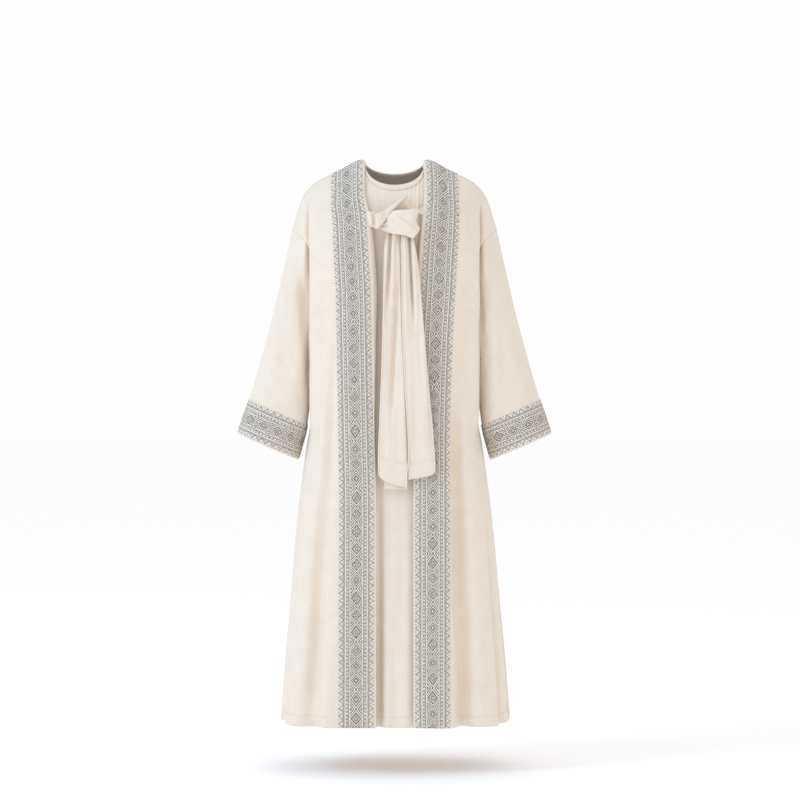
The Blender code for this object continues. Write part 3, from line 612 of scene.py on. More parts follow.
def woven_trim(name, dark, middle, pale, cool):
    """The band's weave. Places across are from one edge to the other, and the design is mirrored."""
    material = bpy.data.materials.new(name)
    material.use_nodes = True
    tree = material.node_tree
    shader = tree.nodes["Principled BSDF"]
    shader.inputs["Roughness"].default_value = 0.9
    shader.inputs["Specular IOR Level"].default_value = 0.2
    shader.inputs["Sheen Weight"].default_value = 0.1
    u, v = cut_places(tree)
    wander = mottle(tree, u, v, 5.0, 5.0, detail=2.0) - 0.5
    sway = mottle(tree, u * 0.0, v, 50.0, 55.0, detail=0.0) - 0.5
    off = (u - TRIM_WIDTH / 2 + wander * 1.8).size()
    along = v + (mottle(tree, u + 91.0, v, 5.0, 5.0, detail=2.0) - 0.5) * 2.4

    def rest_of(share):
        """What is left of a share up to 1."""
        return share * -1.0 + 1.0

    def tooth_of(share):
        """0 at both ends of a repeat and 1 in its middle."""
        return rest_of((share * 2.0 - 1.0).size())

    def band(value, low, high, soft=0.3):
        """1 where a value is between two others."""
        return value.step(low - soft, low + soft) * rest_of(value.step(high - soft, high + soft))

    def spot(across, down, half_across, half_down, soft=0.25):
        """1 inside an oval."""
        far = ((across / half_across).work("POWER", 2.0) + (down / half_down).work("POWER", 2.0)).work("SQRT")
        return rest_of(far.step(1.0 - soft, 1.0 + soft))

    def far_from_line(order):
        """How far a place is from the nearest of the lines that cross at every whole number."""
        return ((order + 0.5).share() - 0.5).size() * DIAMOND_NORMAL

    def picked(order):
        """A chance value from 0 to 1, the same all over one repeat."""
        node = tree.nodes.new("ShaderNodeTexWhiteNoise")
        node.noise_dimensions = "1D"
        tree.links.new(order.work("FLOOR").socket, node.inputs["W"])
        return Thread(tree, node.outputs["Value"])

    speck = mottle(tree, u + 37.0, v, 2.2, 2.6, detail=1.0) - 0.5
    shade = wander * 0.3 + speck * 0.5 + 0.4
    # Toothed borders: outlined grey teeth, some with light centres, that point outwards from a cool line.
    tooth = tooth_of((along / TOOTH_PITCH).share())
    from_tooth = tooth * TOOTH_HIGH - (off - TOOTH_FROM)
    in_border = off.step(TOOTH_FROM - 0.2, TOOTH_FROM + 0.3)
    shade = shade.over(in_border, speck * 0.3 + 0.88)
    shade = shade.over(in_border * spot(off - 27.0, tooth * TOOTH_PITCH / 2, 1.0, 1.4), 0.42)
    shade = shade.over(in_border * from_tooth.step(0.4, 0.8), speck * 1.2 + 0.68)
    shade = shade.over(in_border * band(from_tooth, -0.6, 0.75), speck * 0.3 + 0.06)
    lit = picked(along / TOOTH_PITCH + 0.5)
    shade = shade.over(spot(off - 23.4, rest_of(tooth) * TOOTH_PITCH / 2, 1.5, 1.8), lit * 0.45 + 0.62)
    shade = shade.over(band(off, 18.7, 20.7), speck * 0.3 + 0.3)
    shade = shade.over(band(off, 16.7, 18.3), speck * 0.4 + 0.9)
    # Chains of light beads on dark.
    bead = ((along / BEAD_PITCH).share() - 0.5) * BEAD_PITCH
    strung = picked(along / BEAD_PITCH)
    shade = shade.over(band(off, 12.2, 16.4), speck * 0.9 + 0.4)
    shade = shade.over(spot(off - BEADS_AT - 0.1 + sway * 2.0, bead.size() - BEAD_PITCH / 2, 1.3, 0.8), 0.06)
    shade = shade.over(spot(off - BEADS_AT + sway * 2.0, bead, 1.05, 2.1), strung * 0.35 + 0.66)
    shade = shade.over(band(off, 11.1, 11.8), 0.12)
    shade = shade.over(band(off, 9.7, 11.0), speck * 0.3 + 0.97)
    # Diamonds: doubled light lines that cross, with smaller outlines and a heart inside each diamond.
    in_middle = rest_of(off.step(MIDDLE_TO - 0.2, MIDDLE_TO + 0.2))
    order = along / DIAMOND_PITCH + sway * 0.55
    lean = off / (2 * DIAMOND_HALF)
    near = far_from_line(order - lean).less(far_from_line(order + lean))
    chance = picked(order)
    diamond = tooth_of(order.share())
    inside = in_middle * (diamond * DIAMOND_HALF - off).step(0.0, 0.4)
    outside = in_middle * rest_of(inside)
    shade = shade.over(in_middle * near.step(2.4, 2.8), speck * 1.6 + 0.46)
    shade = shade.over(outside * band(near, 3.6, 5.0, 0.15), 0.95)
    shade = shade.over(outside * near.step(5.0, 5.3), speck * 0.5 + 0.1)
    shade = shade.over(inside * band(near, 3.5, 4.8, 0.15) * chance.step(0.45, 0.5), 0.9)
    shade = shade.over(inside * band(near, 4.8, 5.8, 0.15) * chance.step(0.45, 0.5), 0.04)
    heart = rest_of(diamond) * DIAMOND_PITCH / 2
    shade = shade.over(spot(off, heart, 2.6, 3.2), 0.12)
    shade = shade.over(spot(off, heart, 1.4, 1.8), chance * 0.4 + 0.62)
    shade = shade.over(in_middle * band(near, 2.1, 3.5, 0.15), 0.0)
    shade = shade.over(in_middle * band(near, 0.6, 2.1, 0.15), speck * 0.3 + 1.0)
    shade = shade.over(in_middle * rest_of(near.step(0.45, 0.65)), 0.06)

    ribs = (v * 7.4).work("SINE") * (u * 7.4).work("SINE")
    shade = (shade + ribs * 0.05).less(1.0).more(0.0)
    low = blended(tree, shade.step(0.0, 0.5), dark, middle)
    full = blended(tree, shade.step(0.45, 1.0), low, pale)
    tinted = blended(tree, band(off, 18.6, 28.0) * band(shade, 0.2, 0.72, 0.12) * 0.6, full, cool)
    tree.links.new(tinted, shader.inputs["Base Color"])
    raised(tree, shader, shade * 1.6 + ribs * 0.35, 0.25)
    return material


grey_weave = woven_trim("grey_woven_trim", (0.19, 0.163, 0.139), (0.62, 0.56, 0.495), (0.98, 0.915, 0.82),
                        (0.44, 0.423, 0.395))
# Where each front's trim begins along the woven length, so that the two don't repeat each other.
TRIM_CUT_FROM = {LEFT: 0, RIGHT: 411}


def band_on(points, normals, places):
    """Outer points of a trim laid on a piece: it rounds down at both edges and dips at its stitching."""
    from_edge = np.minimum(places, TRIM_WIDTH - places)
    crown = np.clip(from_edge / 1.2, 0, 1)
    lift = SEAM_GAP + TRIM_THICKNESS * (0.55 + 0.45 * np.sqrt(crown))
    lift = lift + sewn_groove(from_edge - TRIM_STITCHING_IN, 0.8, 0.25)
    return points + normals * lift[..., None]


for side, word in ((LEFT, "left"), (RIGHT, "right")):
    grid, u = fronts[side]
    laid_on = np.array([[np.interp(TRIM_COLUMNS, u[r], grid[r, :, k]) for k in range(3)]
                        for r in range(len(DEPTHS))]).transpose(0, 2, 1)
    places, down = spread(TRIM_COLUMNS, DEPTHS, *laid_on.shape[:2])
    band = band_on(laid_on, outward(laid_on) * side, places)
    normals = outward(band) * side
    way = FACING[side]
    piece = cloth_shell("trim_" + word + "_band", band[:, way], normals[:, way],
                        (TRIM_WIDTH - places)[:, way], (down + TRIM_CUT_FROM[side])[:, way],
                        TRIM_WALL, grey_weave)
    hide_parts("trim_" + word)
    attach(piece, "root")
    stitches("trim_" + word + "_stitching", [(band[:, c], normals[:, c]) for c in TRIM_STITCHED],
             pitch=3.0, half=0.2)

# The back. One panel of the same linen, cut to a shallow curve at the neck, where the fronts' plain edge
# runs on behind as a narrow binding. It hangs from the shoulders in soft flutes that open towards the hem.
BACK_NECK_DEPTH = 20.0
BACK_CUT_HALF = 210.0
BACK_CUT_FROM = 1300
# Folds down the back, as a front's, with places as shares of the half width.
BACK_FOLDS = ((-0.86, 22, -9, 420), (-0.62, 26, 9, 330), (-0.34, 26, -10, 300), (-0.06, 30, 8, 260),
              (0.2, 24, -9, 330), (0.46, 28, 10, 300), (0.7, 22, -10, 380), (0.9, 20, 5, 420))
# Creases by distance from the middle at the top (left is below 0) and depth.
BACK_CREASES = ((-96, 90, -84, 330, 10, -1.3, 6), (-60, 130, -66, 420, 12, 1.2, -5),
                (-22, 90, -16, 350, 13, -1.0, 4), (18, 140, 24, 420, 11, 1.0, 5),
                (58, 80, 50, 360, 12, -1.2, -6), (94, 110, 88, 400, 10, 1.2, 5),
                (-110, 230, -70, 300, 9, 0.8, -4), (112, 220, 72, 296, 9, 0.8, 4),
                (-90, 430, -100, 760, 11, 0.9, 6), (-40, 500, -34, 840, 10, -0.8, -5),
                (10, 470, 4, 800, 12, 0.8, 6), (52, 540, 62, 880, 10, -0.8, 4),
                (104, 460, 96, 780, 10, 0.9, -6),
                (-126, 560, -120, 860, 9, -0.8, 4), (126, 600, 132, 890, 9, 0.8, 4),
                (-70, 36, -30, 74, 9, -0.8, 3), (72, 40, 34, 78, 9, -0.8, -3), (-50, 300, 30, 330, 14, 0.4, 4))


def back_row(depth, shares):
    """The back's points at one depth, at shares of its half width."""
    found = np.zeros((len(shares), 3))
    top_x, _ = quarter_round((0, 0), (BODY["side"][0], 0))
    for side in (LEFT, RIGHT):
        here = shares < 0 if side == LEFT else shares >= 0
        start = (0.0, SEAM_Y + through(BODY, "depth", "back", depth))
        x, y = quarter_round(start, seam_line(depth, "back"))
        x = beside_arm(x, y, depth)
        z = -depth - through(SHOULDER_LINE, "out", "drop", top_x) * shoulder_share(depth)
        run = run_of(x, y)
        middles = [fold[0] * side * run[-1] for fold in BACK_FOLDS]
        x, y = folded(x, -y, middles, BACK_FOLDS, depth)
        place = np.abs(shares[here]) * run[-1]
        found[here] = np.stack([np.interp(place, run, c) for c in (side * x, -y, z)], axis=1)
    return found


def back_top(share):
    """Depth of the back's top edge: the neckline's dip between the shoulder seams."""
    inside = np.clip(1 - (share / (NECK_HALF / BODY["side"][0])) ** 2, 0, 1)
    return BACK_NECK_DEPTH * inside ** 0.5


def back_surface(shares, depth_of):
    """The back's points at shares across, each at its own depths down."""
    levels = np.unique(np.concatenate([np.linspace(0, 60, 61), DEPTHS[DEPTHS > 60]]))
    rows = np.array([back_row(depth, shares) for depth in levels])
    grid = np.zeros((depth_of.shape[0], len(shares), 3))
    for c in range(len(shares)):
        for k in range(3):
            grid[:, c, k] = np.interp(depth_of[:, c], levels, rows[:, c, k])
    return grid


neck_share = NECK_HALF / BODY["side"][0]
half = np.concatenate([np.linspace(0, 0.9, 13) * neck_share, neck_share * np.array([0.95, 0.98, 1.0]),
                       np.linspace(0.335, 0.97, 48), [0.985, 1.0]])
shares = np.concatenate([half[::-1], -half[1:]])
tops = back_top(shares)
depth_of = tops + DEPTHS[:, None] / LENGTH * (LENGTH - tops)
grid = back_surface(shares, depth_of)
grid[0, :, 1] -= SEAM_GAP
across = shares * BACK_CUT_HALF
lift = crease_height(across[None], depth_of, BACK_CREASES) * ease((1 - np.abs(shares)) / 0.06)
lift += turned_hem(depth_of)
normals = outward(grid)
grid = grid + normals * lift[..., None]
normals = outward(grid)
piece = cloth_shell("back_cloth", grid, normals, np.broadcast_to(across, depth_of.shape),
                    depth_of + BACK_CUT_FROM, CLOTH_WALL, cream_linen)
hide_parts("back")
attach(piece, "root")
stitches("back_hem_stitching", [(grid[HEM_ROW], normals[HEM_ROW])])

# The binding round the back of the neck swells between its two folded edges.
shares = neck_share * np.linspace(0.985, -0.985, 61)
down = np.array([0.2, 0.5, 1.2, 2.5, 4.5, 6.5, 7.8, 8.5, 8.8])[:, None]
binding = back_surface(shares, back_top(shares) + down)
swell = np.clip(np.sin(math.pi * (down - down[0]) / (down[-1] - down[0])), 0, 1) ** 0.6
binding = binding + outward(binding) * (SEAM_GAP + 0.7 + 0.8 * swell)[..., None]
piece = cloth_shell("back_neck_binding_cloth", binding, outward(binding),
                    *spread(shares * 170, down, *binding.shape[:2]), 1.0, cream_linen)
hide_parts("back_neck_binding")
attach(piece, "root")
stitches("back_neck_stitching", [(binding[7], outward(binding)[7])], pitch=3.0, half=0.2)

# The sleeves. Wide straight tubes of the same linen, set on dropped shoulders with a plain seam, which
# hang a little away from the sides. They are creased softly at the underarm and the elbow.
SHOULDER_DROP = 115.0
# The sleeve's outer and inner lines at shares of its length, and how deep it is from its middle.
SLEEVE_OUTER = {"along": (0, 0.4, 0.8, 1), "out": (169, 201, 240, 259), "down": (115, 256, 395, 451)}
SLEEVE_INNER = {"along": (0, 0.4, 0.8, 1), "out": (131, 134, 144.5, 158.5),
                "down": (235, 335, 437, 494)}
SLEEVE_HALF_DEPTH = {"along": (0, 0.25, 0.6, 1), "half": (42, 50, 53, 53)}
# Folds down a sleeve: place round it, half width, height, and the shares of its length it runs between.
SLEEVE_FOLDS = ((0.22, 0.05, -4.0, 0.12, 0.78), (0.33, 0.05, 3.0, 0.2, 0.8), (0.78, 0.06, -4.0, 0.1, 0.75),
                (0.64, 0.05, 3.0, 0.2, 0.8))
# A long run down the front of each sleeve: its start and end (out, down), half width and height.
SLEEVE_RUNS = {LEFT: ((153, 170), (137, 400), 8.0, -7.0), RIGHT: ((165, 180), (166, 420), 9.0, 5.0)}
SLEEVE_LENGTH = 340.0
SLEEVE_ROUND = 330.0
SLEEVE_COLUMNS = 132
# The share of its length over which a sleeve leaves the armhole's shape.
SLEEVE_HEAD = 0.22
# The sleeve's first rings are tucked in under the armhole's edge.
TUCKED_OVER = 0.012
TUCKED_IN = 4.0
CUFF_TRIM_FROM = 0.8
CUFF_TRIM_TO = 0.992
# Creases by place round the sleeve (0 at its outer line, a quarter of the way at the front) and down it.
SLEEVE_CREASES = ((62, 20, 74, 150, 8, 1.1, 4), (96, 8, 110, 120, 8, -1.3, -5),
                  (120, 30, 96, 190, 9, 1.0, 6), (40, 90, 58, 230, 9, -0.9, -5),
                  (136, 60, 128, 240, 8, -1.0, 4), (88, 130, 120, 176, 8, 0.8, 4),
                  (70, 170, 112, 200, 9, -0.7, -4), (104, 190, 92, 268, 8, 0.8, 3),
                  (246, 20, 236, 160, 9, 1.1, -5), (214, 10, 226, 130, 8, -1.2, 4),
                  (270, 70, 256, 230, 9, -1.0, 5), (200, 60, 214, 230, 8, 0.9, -4),
                  (230, 140, 268, 180, 8, 0.8, 4), (290, 40, 284, 190, 9, 0.8, 4),
                  (12, 60, 20, 250, 10, 0.7, 5), (316, 100, 322, 250, 9, -0.7, -4),
                  (164, 20, 168, 220, 9, 0.8, 3))


def armhole_loop(side, turns):
    """Points round the armhole, from its top by the front to the underarm and back behind."""
    loops = []
    for face in ("front", "back"):
        edge = []
        for depth in np.linspace(0, ARMHOLE_DEPTH, 80):
            out, y = seam_line(depth, face)
            out = beside_arm(out, y, depth)
            edge.append((out * side, y, -depth - SHOULDER_DROP * shoulder_share(depth)))
        edge = np.array(edge)
        length = np.concatenate([[0], np.cumsum(np.linalg.norm(np.diff(edge, axis=0), axis=1))])
        loops.append((length / length[-1], edge))
    found = []
    for turn in turns % 1.0:
        share, (length, edge) = (2 * turn, loops[0]) if turn <= 0.5 else (2 - 2 * turn, loops[1])
        found.append([np.interp(share, length, edge[:, k]) for k in range(3)])
    return np.array(found)


def sleeve_rings(side, places, turns):
    """Rings down the sleeve, each from its outer line round by the front."""
    turned = np.cos(2 * math.pi * turns)
    round_front = np.sin(2 * math.pi * turns)
    top_share = (1 + turned) / 2
    # The sleeve's head lies just under the armhole's edge at the top, and just outside it at the underarm.
    clear = np.stack([(2.4 * (1 - top_share) ** 3 - 0.4 * top_share) * side, 0 * turns,
                      -0.5 + 0.45 * top_share], axis=1)

    def ellipse(at):
        """A ring at a share of the sleeve's length. Its inner half is squarer above the cuff."""
        squarer = 0.55 * ease(-turned / 0.3) * ease((0.97 - at) / 0.2)
        across = np.sign(round_front) * np.abs(round_front) ** (1 - squarer)
        lines = [(through(table, "along", "out", at), -through(table, "along", "down", at))
                 for table in (SLEEVE_OUTER, SLEEVE_INNER)]
        x, z = ((outer + inner) / 2 + (outer - inner) / 2 * turned for outer, inner in zip(*lines))
        y = SEAM_Y - through(SLEEVE_HALF_DEPTH, "along", "half", at) * across
        return np.stack([x * side, y, z], axis=1)

    start = armhole_loop(side, turns) + clear - ellipse(0)
    rings = []
    for along in places:
        ring = ellipse(max(along, 0.0)) + start * (1 - ease(along / SLEEVE_HEAD))
        middle = ring.mean(axis=0)
        out = (ring - middle) / np.linalg.norm(ring - middle, axis=1, keepdims=True)
        ring = ring - ease(-along / TUCKED_OVER) * (np.array([TUCKED_IN * side, 0, 0]) + 2.0 * out)
        out = (ring - middle) / np.linalg.norm(ring - middle, axis=1, keepdims=True)
        for turn, half_width, height, begins, ends in SLEEVE_FOLDS:
            swell = math.sin(math.pi * min(max((along - begins) / (ends - begins), 0.0), 1.0))
            ring = ring + out * (height * swell * np.exp(-((turns % 1.0 - turn) / half_width) ** 2))[:, None]
        rings.append(ring)
    rings = arm_crease(side, np.array(rings))
    out, y, down = rings[..., 0] * side, rings[..., 1], -rings[..., 2]
    start, end, half_width, push = SLEEVE_RUNS[side]
    share = (down - start[1]) / (end[1] - start[1])
    middle = start[0] + (end[0] - start[0]) * share
    push = push * ease(share / 0.3) * ease((1 - share) / 0.3) * np.exp(-((out - middle) / half_width) ** 2)
    rings[..., 1] -= push * ease((-y - 8) / 16)
    return rings


# Rings are closer at both ends. Columns start at the underarm.
SLEEVE_PLACES = np.unique(np.concatenate([[-0.012, -0.008, -0.005, -0.002], np.linspace(0, 0.985, 118),
                                          [0.99, 0.994, 0.9965, 0.9985, 1.0], [0.004, 0.008, 0.012]]))
TURNS = 0.5 + np.arange(SLEEVE_COLUMNS) / SLEEVE_COLUMNS
# The right sleeve's columns run the other way, so that its faces point outwards too.
TURNING = {LEFT: slice(None), RIGHT: slice(None, None, -1)}
SLEEVE_CUT_FROM = {LEFT: 2300, RIGHT: 2900}
CUFF_CUT_FROM = {LEFT: 77, RIGHT: 590}
for side, word in ((LEFT, "left"), (RIGHT, "right")):
    rings = sleeve_rings(side, SLEEVE_PLACES, TURNS)
    way = TURNING[side]
    u = (np.concatenate([TURNS, [TURNS[0] + 1]]) * SLEEVE_ROUND)[way]
    v = SLEEVE_PLACES * SLEEVE_LENGTH
    # The same creases in both, with ridges for troughs in the right one.
    creases = [(*ends, half_width, -side * height, bend) for *ends, half_width, height, bend in SLEEVE_CREASES]
    turn_place = (TURNS % 1.0) * SLEEVE_ROUND
    lift = crease_height(turn_place[None], v[:, None], creases)
    lift *= ease((CUFF_TRIM_FROM - SLEEVE_PLACES) / 0.05)[:, None]
    lift -= (0.15 * np.exp(-(v / 1.6) ** 2))[:, None]
    rings = rings + outward(rings, closed=True) * -side * lift[..., None]
    normals = outward(rings, closed=True) * -side
    u_grid, v_grid = spread(u, v + SLEEVE_CUT_FROM[side], len(v), len(u))
    piece = cloth_shell("sleeve_" + word + "_cloth", rings[:, way], normals[:, way], u_grid, v_grid,
                        CLOTH_WALL, cream_linen, closed=True)
    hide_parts("sleeve_" + word)
    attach(piece, "root")

    # The trim round the cuff, the same band laid 0.3 mm off the sleeve and topstitched at both edges.
    share = CUFF_TRIM_FROM + TRIM_COLUMNS / TRIM_WIDTH * (CUFF_TRIM_TO - CUFF_TRIM_FROM)
    laid_on = np.array([[np.interp(share, SLEEVE_PLACES, rings[:, c, k]) for k in range(3)]
                        for c in range(SLEEVE_COLUMNS)]).transpose(2, 0, 1)
    band = band_on(laid_on, outward(laid_on, closed=True) * -side, TRIM_COLUMNS[:, None])
    normals = outward(band, closed=True) * -side
    round_cuff, across = spread(u, TRIM_COLUMNS, len(TRIM_COLUMNS), len(u))
    piece = cloth_shell("cuff_trim_" + word + "_band", band[:, way], normals[:, way], across,
                        round_cuff + CUFF_CUT_FROM[side], TRIM_WALL, grey_weave, closed=True)
    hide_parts("cuff_trim_" + word)
    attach(piece, "root")
    stitches("cuff_trim_" + word + "_stitching", [(band[r], normals[r]) for r in TRIM_STITCHED],
             pitch=3.0, half=0.2)

# The inner front. An insert of the same linen that fills the opening: it is sewn in behind the trims and
# into the shoulder seams, gathered to a round neck under a narrow binding, and hemmed at the bottom.
INNER_NECK_HALF = 48.0
INNER_NECK_DEPTH = 46.0
INNER_CUT_FROM = 3600
INNER_BINDING_CUT_FROM = 4700
# How far behind the fronts it hangs in the opening, at depths below the shoulder. Behind a front it closes
# up to the smaller gap, and ends this far from the trim's inner edge.
INNER_GAP = {"depth": (0, 20, 60, 90, 115, 170, 300, 500, 923),
             "gap": (2.2, 4, 5.5, 7.5, 10.5, 15, 13, 10, 8)}
INNER_CLEAR = 2.0
INNER_EDGE_FROM_TRIM = 59.0
# Under the shoulder seam its top is forward and down by this.
UNDER_SEAM = 2.4
# Folds: distance from the middle, half width, how far each stands out at the hem, and where it begins.
INNER_FOLDS = ((-40, 10, -13, 400), (-14, 14, 4, 400), (28, 18, 5, 430))
# Gathers: from and to across, how wide each is and how far it stands out.
GATHERS = ((-37.0, 16.0, 6.7, 0.2), (18.0, 44.0, 6.6, 1.2))
GATHERS_FADE_OVER = 75.0
# Creases by distance from the middle at the top and depth below the neckline.
INNER_CREASES = ((-30, 12, -32, 110, 3.4, 0.7, 2), (-20, 10, -22, 90, 3.0, -0.6, -2),
                 (-8, 14, -10, 130, 3.6, 0.6, 2), (6, 10, 4, 80, 3.2, -0.6, 2),
                 (16, 12, 20, 120, 3.4, 0.8, -2), (27, 8, 30, 140, 3.2, -1.1, 2),
                 (35, 6, 40, 150, 3.0, 1.2, 2), (-16, 440, -20, 780, 9, -1.0, 4),
                 (6, 480, 12, 860, 9, 1.2, -4), (20, 520, 18, 800, 8, -0.8, 3), (-2, 560, -6, 700, 8, 0.7, 3))


def inner_neck(out):
    """Depth of the inner front's top edge at a distance from the middle: a round neck."""
    return INNER_NECK_DEPTH * np.clip(1 - (out / INNER_NECK_HALF) ** 2, 0, 1) ** 0.35


def gathered(out, below_neck):
    """How far the gathers stand out at a distance from the middle and below the neckline."""
    total = np.zeros(np.broadcast(out, below_neck).shape)
    for start, end, width, height in GATHERS:
        share = (out - start) / (end - start)
        swell = ease(share / 0.15) * ease((1 - share) / 0.15)
        total += height * swell * np.cos(2 * math.pi * (out - start) / width)
    return total * (0.25 + 0.75 * ease(below_neck / 12)) * np.exp(-below_neck / GATHERS_FADE_OVER)


def behind_front(side, levels, places, clear):
    """Points behind a front at distances from its trim's inner edge, one row for each level."""
    rows = []
    for depth, least in zip(levels, clear):
        here = front_points(side, depth, places)[0]
        right = front_points(side, depth, places + 2.0)[0]
        left = front_points(side, depth, places - 2.0)[0]
        below = front_points(side, depth + 2.0, places)[0]
        normal = np.cross(below - here, (right - left) * side)
        normal /= np.linalg.norm(normal, axis=1, keepdims=True)
        rows.append(here - normal * least[:, None])
    return np.array(rows)


def inner_surface(outs, depth_of):
    """The inner front's points: each column runs down from its own place at the shoulder seam."""
    grid = np.zeros(depth_of.shape + (3,))
    levels = np.unique(np.concatenate([np.linspace(0, 60, 31), DEPTHS[DEPTHS > 60][::3], [LENGTH]]))
    for side in (LEFT, RIGHT):
        edge = FRONT_EDGE[side]
        trim_edge = edge["trim"][0]
        far = outs * side > trim_edge
        if far.any():
            places = np.abs(outs[far]) - trim_edge
            least = (INNER_CLEAR + 1.6 * ease(levels / 30))[:, None]
            gap = through(INNER_GAP, "depth", "gap", levels)[:, None]
            clear = least + np.maximum(gap - least, 0) * (1 - ease(places / INNER_EDGE_FROM_TRIM))
            rows = behind_front(side, levels, places, clear)
            for c, column in enumerate(np.flatnonzero(far)):
                for k in range(3):
                    grid[:, column, k] = np.interp(depth_of[:, column], levels, rows[:, c, k])
        near = (outs * side <= trim_edge) & ((outs < 0) == (side == LEFT))
        depth = depth_of[:, near]
        grid[:, near, 0] = outs[near] * through(edge, "depth", "trim", depth) / trim_edge
        grid[:, near, 1] = (SEAM_Y - through(BODY, "depth", "front", depth)
                            + through(INNER_GAP, "depth", "gap", depth))
        grid[:, near, 2] = -depth
    grid[..., 1:] -= (UNDER_SEAM * np.clip(1 - depth_of / 30, 0, 1))[..., None]
    for place, half_width, height, begins in INNER_FOLDS:
        grid[..., 1] -= height * ease((depth_of - begins) / (LENGTH - begins)) * np.exp(
            -((outs[None] - place) / half_width) ** 2)
    grid[..., 1] -= gathered(outs[None], depth_of - inner_neck(outs))
    return grid


# Columns are closer where the neckline steepens beside the trims, and rows near the neck and the hem.
ends = np.array([44.2, 45.2, 46.0, 46.7, 47.2, 47.6, 47.85, 48.4])
middle = np.linspace(-43.6, 43.6, 100)
beyond = FRONT_EDGE[LEFT]["trim"][0] + np.array([3, 8, 14, 22, 30, 38, 45, 52, INNER_EDGE_FROM_TRIM])
outs = np.concatenate([-beyond[::-1], -ends[::-1], middle, ends, beyond])
at_hem = HEM_TURNED + np.array([-2.5, -1.2, -0.5, 0, 0.5, 1.2, 2.5])
shares = np.unique(np.concatenate([np.linspace(0, 0.12, 50), np.linspace(0.12, 0.976, 150),
                                   1 - at_hem / LENGTH, [0.992, 0.997, 1.0]]))
tops = inner_neck(outs)
depth_of = tops + shares[:, None] * (LENGTH - tops)
grid = inner_surface(outs, depth_of)
normals = outward(grid)
lift = crease_height(outs[None], depth_of - tops, INNER_CREASES)
lift += sewn_groove(depth_of - HEM_LINE) + 0.4 * ease((depth_of - HEM_LINE) / 2)
grid = grid + normals * lift[..., None]
normals = outward(grid)
piece = cloth_shell("inner_front_cloth", grid, normals, np.broadcast_to(outs, depth_of.shape),
                    depth_of + INNER_CUT_FROM, CLOTH_WALL, cream_linen)
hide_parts("inner_front")
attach(piece, "root")
hem_row = int(np.argmin(np.abs(shares - (1 - HEM_TURNED / LENGTH))))
shown = np.abs(outs) < ends[0]
stitches("inner_hem_stitching", [(grid[hem_row, shown], normals[hem_row, shown])])

# The binding swells between its folded edges, and is puckered by the gathers that it holds.
outs = np.concatenate([-ends[-2::-1], middle, ends[:-1]])
down = np.array([-0.3, 0.1, 0.9, 2.2, 4.5, 6.8, 8.1, 8.8, 9.1])[:, None]
binding = inner_surface(outs, np.maximum(inner_neck(outs) + down, 0.0))
binding[..., 1] += gathered(outs[None], down) * 0.75
swell = np.sin(math.pi * np.clip((down + 0.3) / 9.4, 0, 1)) ** 0.5
pucker = 0.28 * np.sin(outs * 2.1 + 1.3 * np.sin(outs * 0.7)) * np.sin(math.pi * np.clip(down / 9, 0, 1))
binding = binding + outward(binding) * (0.95 + 0.6 * swell + pucker)[..., None]
piece = cloth_shell("inner_neck_binding_cloth", binding, outward(binding),
                    *spread(outs * 1.3, down + INNER_BINDING_CUT_FROM, *binding.shape[:2]), 0.7, cream_linen)
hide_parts("inner_neck_binding")
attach(piece, "root")
stitches("inner_neck_stitching", [(binding[6], outward(binding)[6])], pitch=2.6, half=0.18)

# The tie. Two bands of the same linen leave the fronts' edges and meet in a soft half bow: a knot of two
# plump wraps, a short folded end that points up, one wide loop and long fluted ends with stitched hems.
TIE_WALL = 1.0
# Each part of the tie has its own place on the cut, so that no two show the same threads.
TIE_CUT_FROM = {"strap_right": 5100, "strap_left": 5200, "knot": 5300, "wing": 5400, "loop": 5500,
                "tail_left": 5700, "tail_right": 5900, "tail_under": 6100}
# The knot's sizes at distances out from the robe's middle.
KNOT = {
    "out": (-43.6, -42.6, -40.8, -38.2, -35.6, -33.6, -31.0, -27.0, -23.0, -19.5, -17.0),
    "half_height": (1.5, 8.5, 11.0, 12.2, 12.0, 10.2, 12.2, 12.6, 12.0, 9.5, 5.0),
    "half_depth": (1.2, 6.5, 10.5, 12.8, 10.5, 5.4, 9.2, 10.4, 9.2, 7.0, 3.5),
    "down": (96.5, 98.6, 102.0, 104.8, 106.0, 106.8, 107.0, 107.3, 106.0, 103.0, 101.0),
}
KNOT_FRONT = 98.5
# Creases on the knot by distance out and by degrees round it, 90 at its front.
KNOT_CREASES = ((-40.6, 20, -39.6, 150, 1.0, -0.7, 0.3), (-38.6, 20, -37.4, 160, 1.2, 0.7, 0.4),
                (-36.4, 20, -35.8, 150, 0.9, -0.7, -0.3))
# The short end's lower edge, folded top edge and rear edge, at shares of its length.
WING = {
    "along": (0, 0.05, 0.12, 0.2, 0.36, 0.58, 0.8, 1),
    "low_out": (-29.6, -28.4, -25.6, -21.2, -11.6, 1.2, 9.4, 19.9),
    "low_down": (118.4, 119.8, 118.8, 115.6, 103.6, 87.4, 78.9, 66.5),
    "low_front": (96, 106, 112, 112.5, 107.5, 102.5, 100, 96.5),
    "top_out": (-32.6, -31.9, -28.4, -23.1, -15.0, -5.4, 5.9, 19.3),
    "top_down": (97.0, 95.6, 95.0, 93.9, 89.3, 82.1, 74.5, 65.9),
    "top_front": (95, 103, 108, 108, 103, 99.5, 98.5, 95.5),
    "rear_out": (-24, -22, -19, -14, -2, 10, 19, 27.4),
    "rear_down": (108, 108, 107, 106, 101, 97, 92, 87.6),
    "rear_front": (92, 92, 91, 90, 89.5, 89, 89, 89),
}
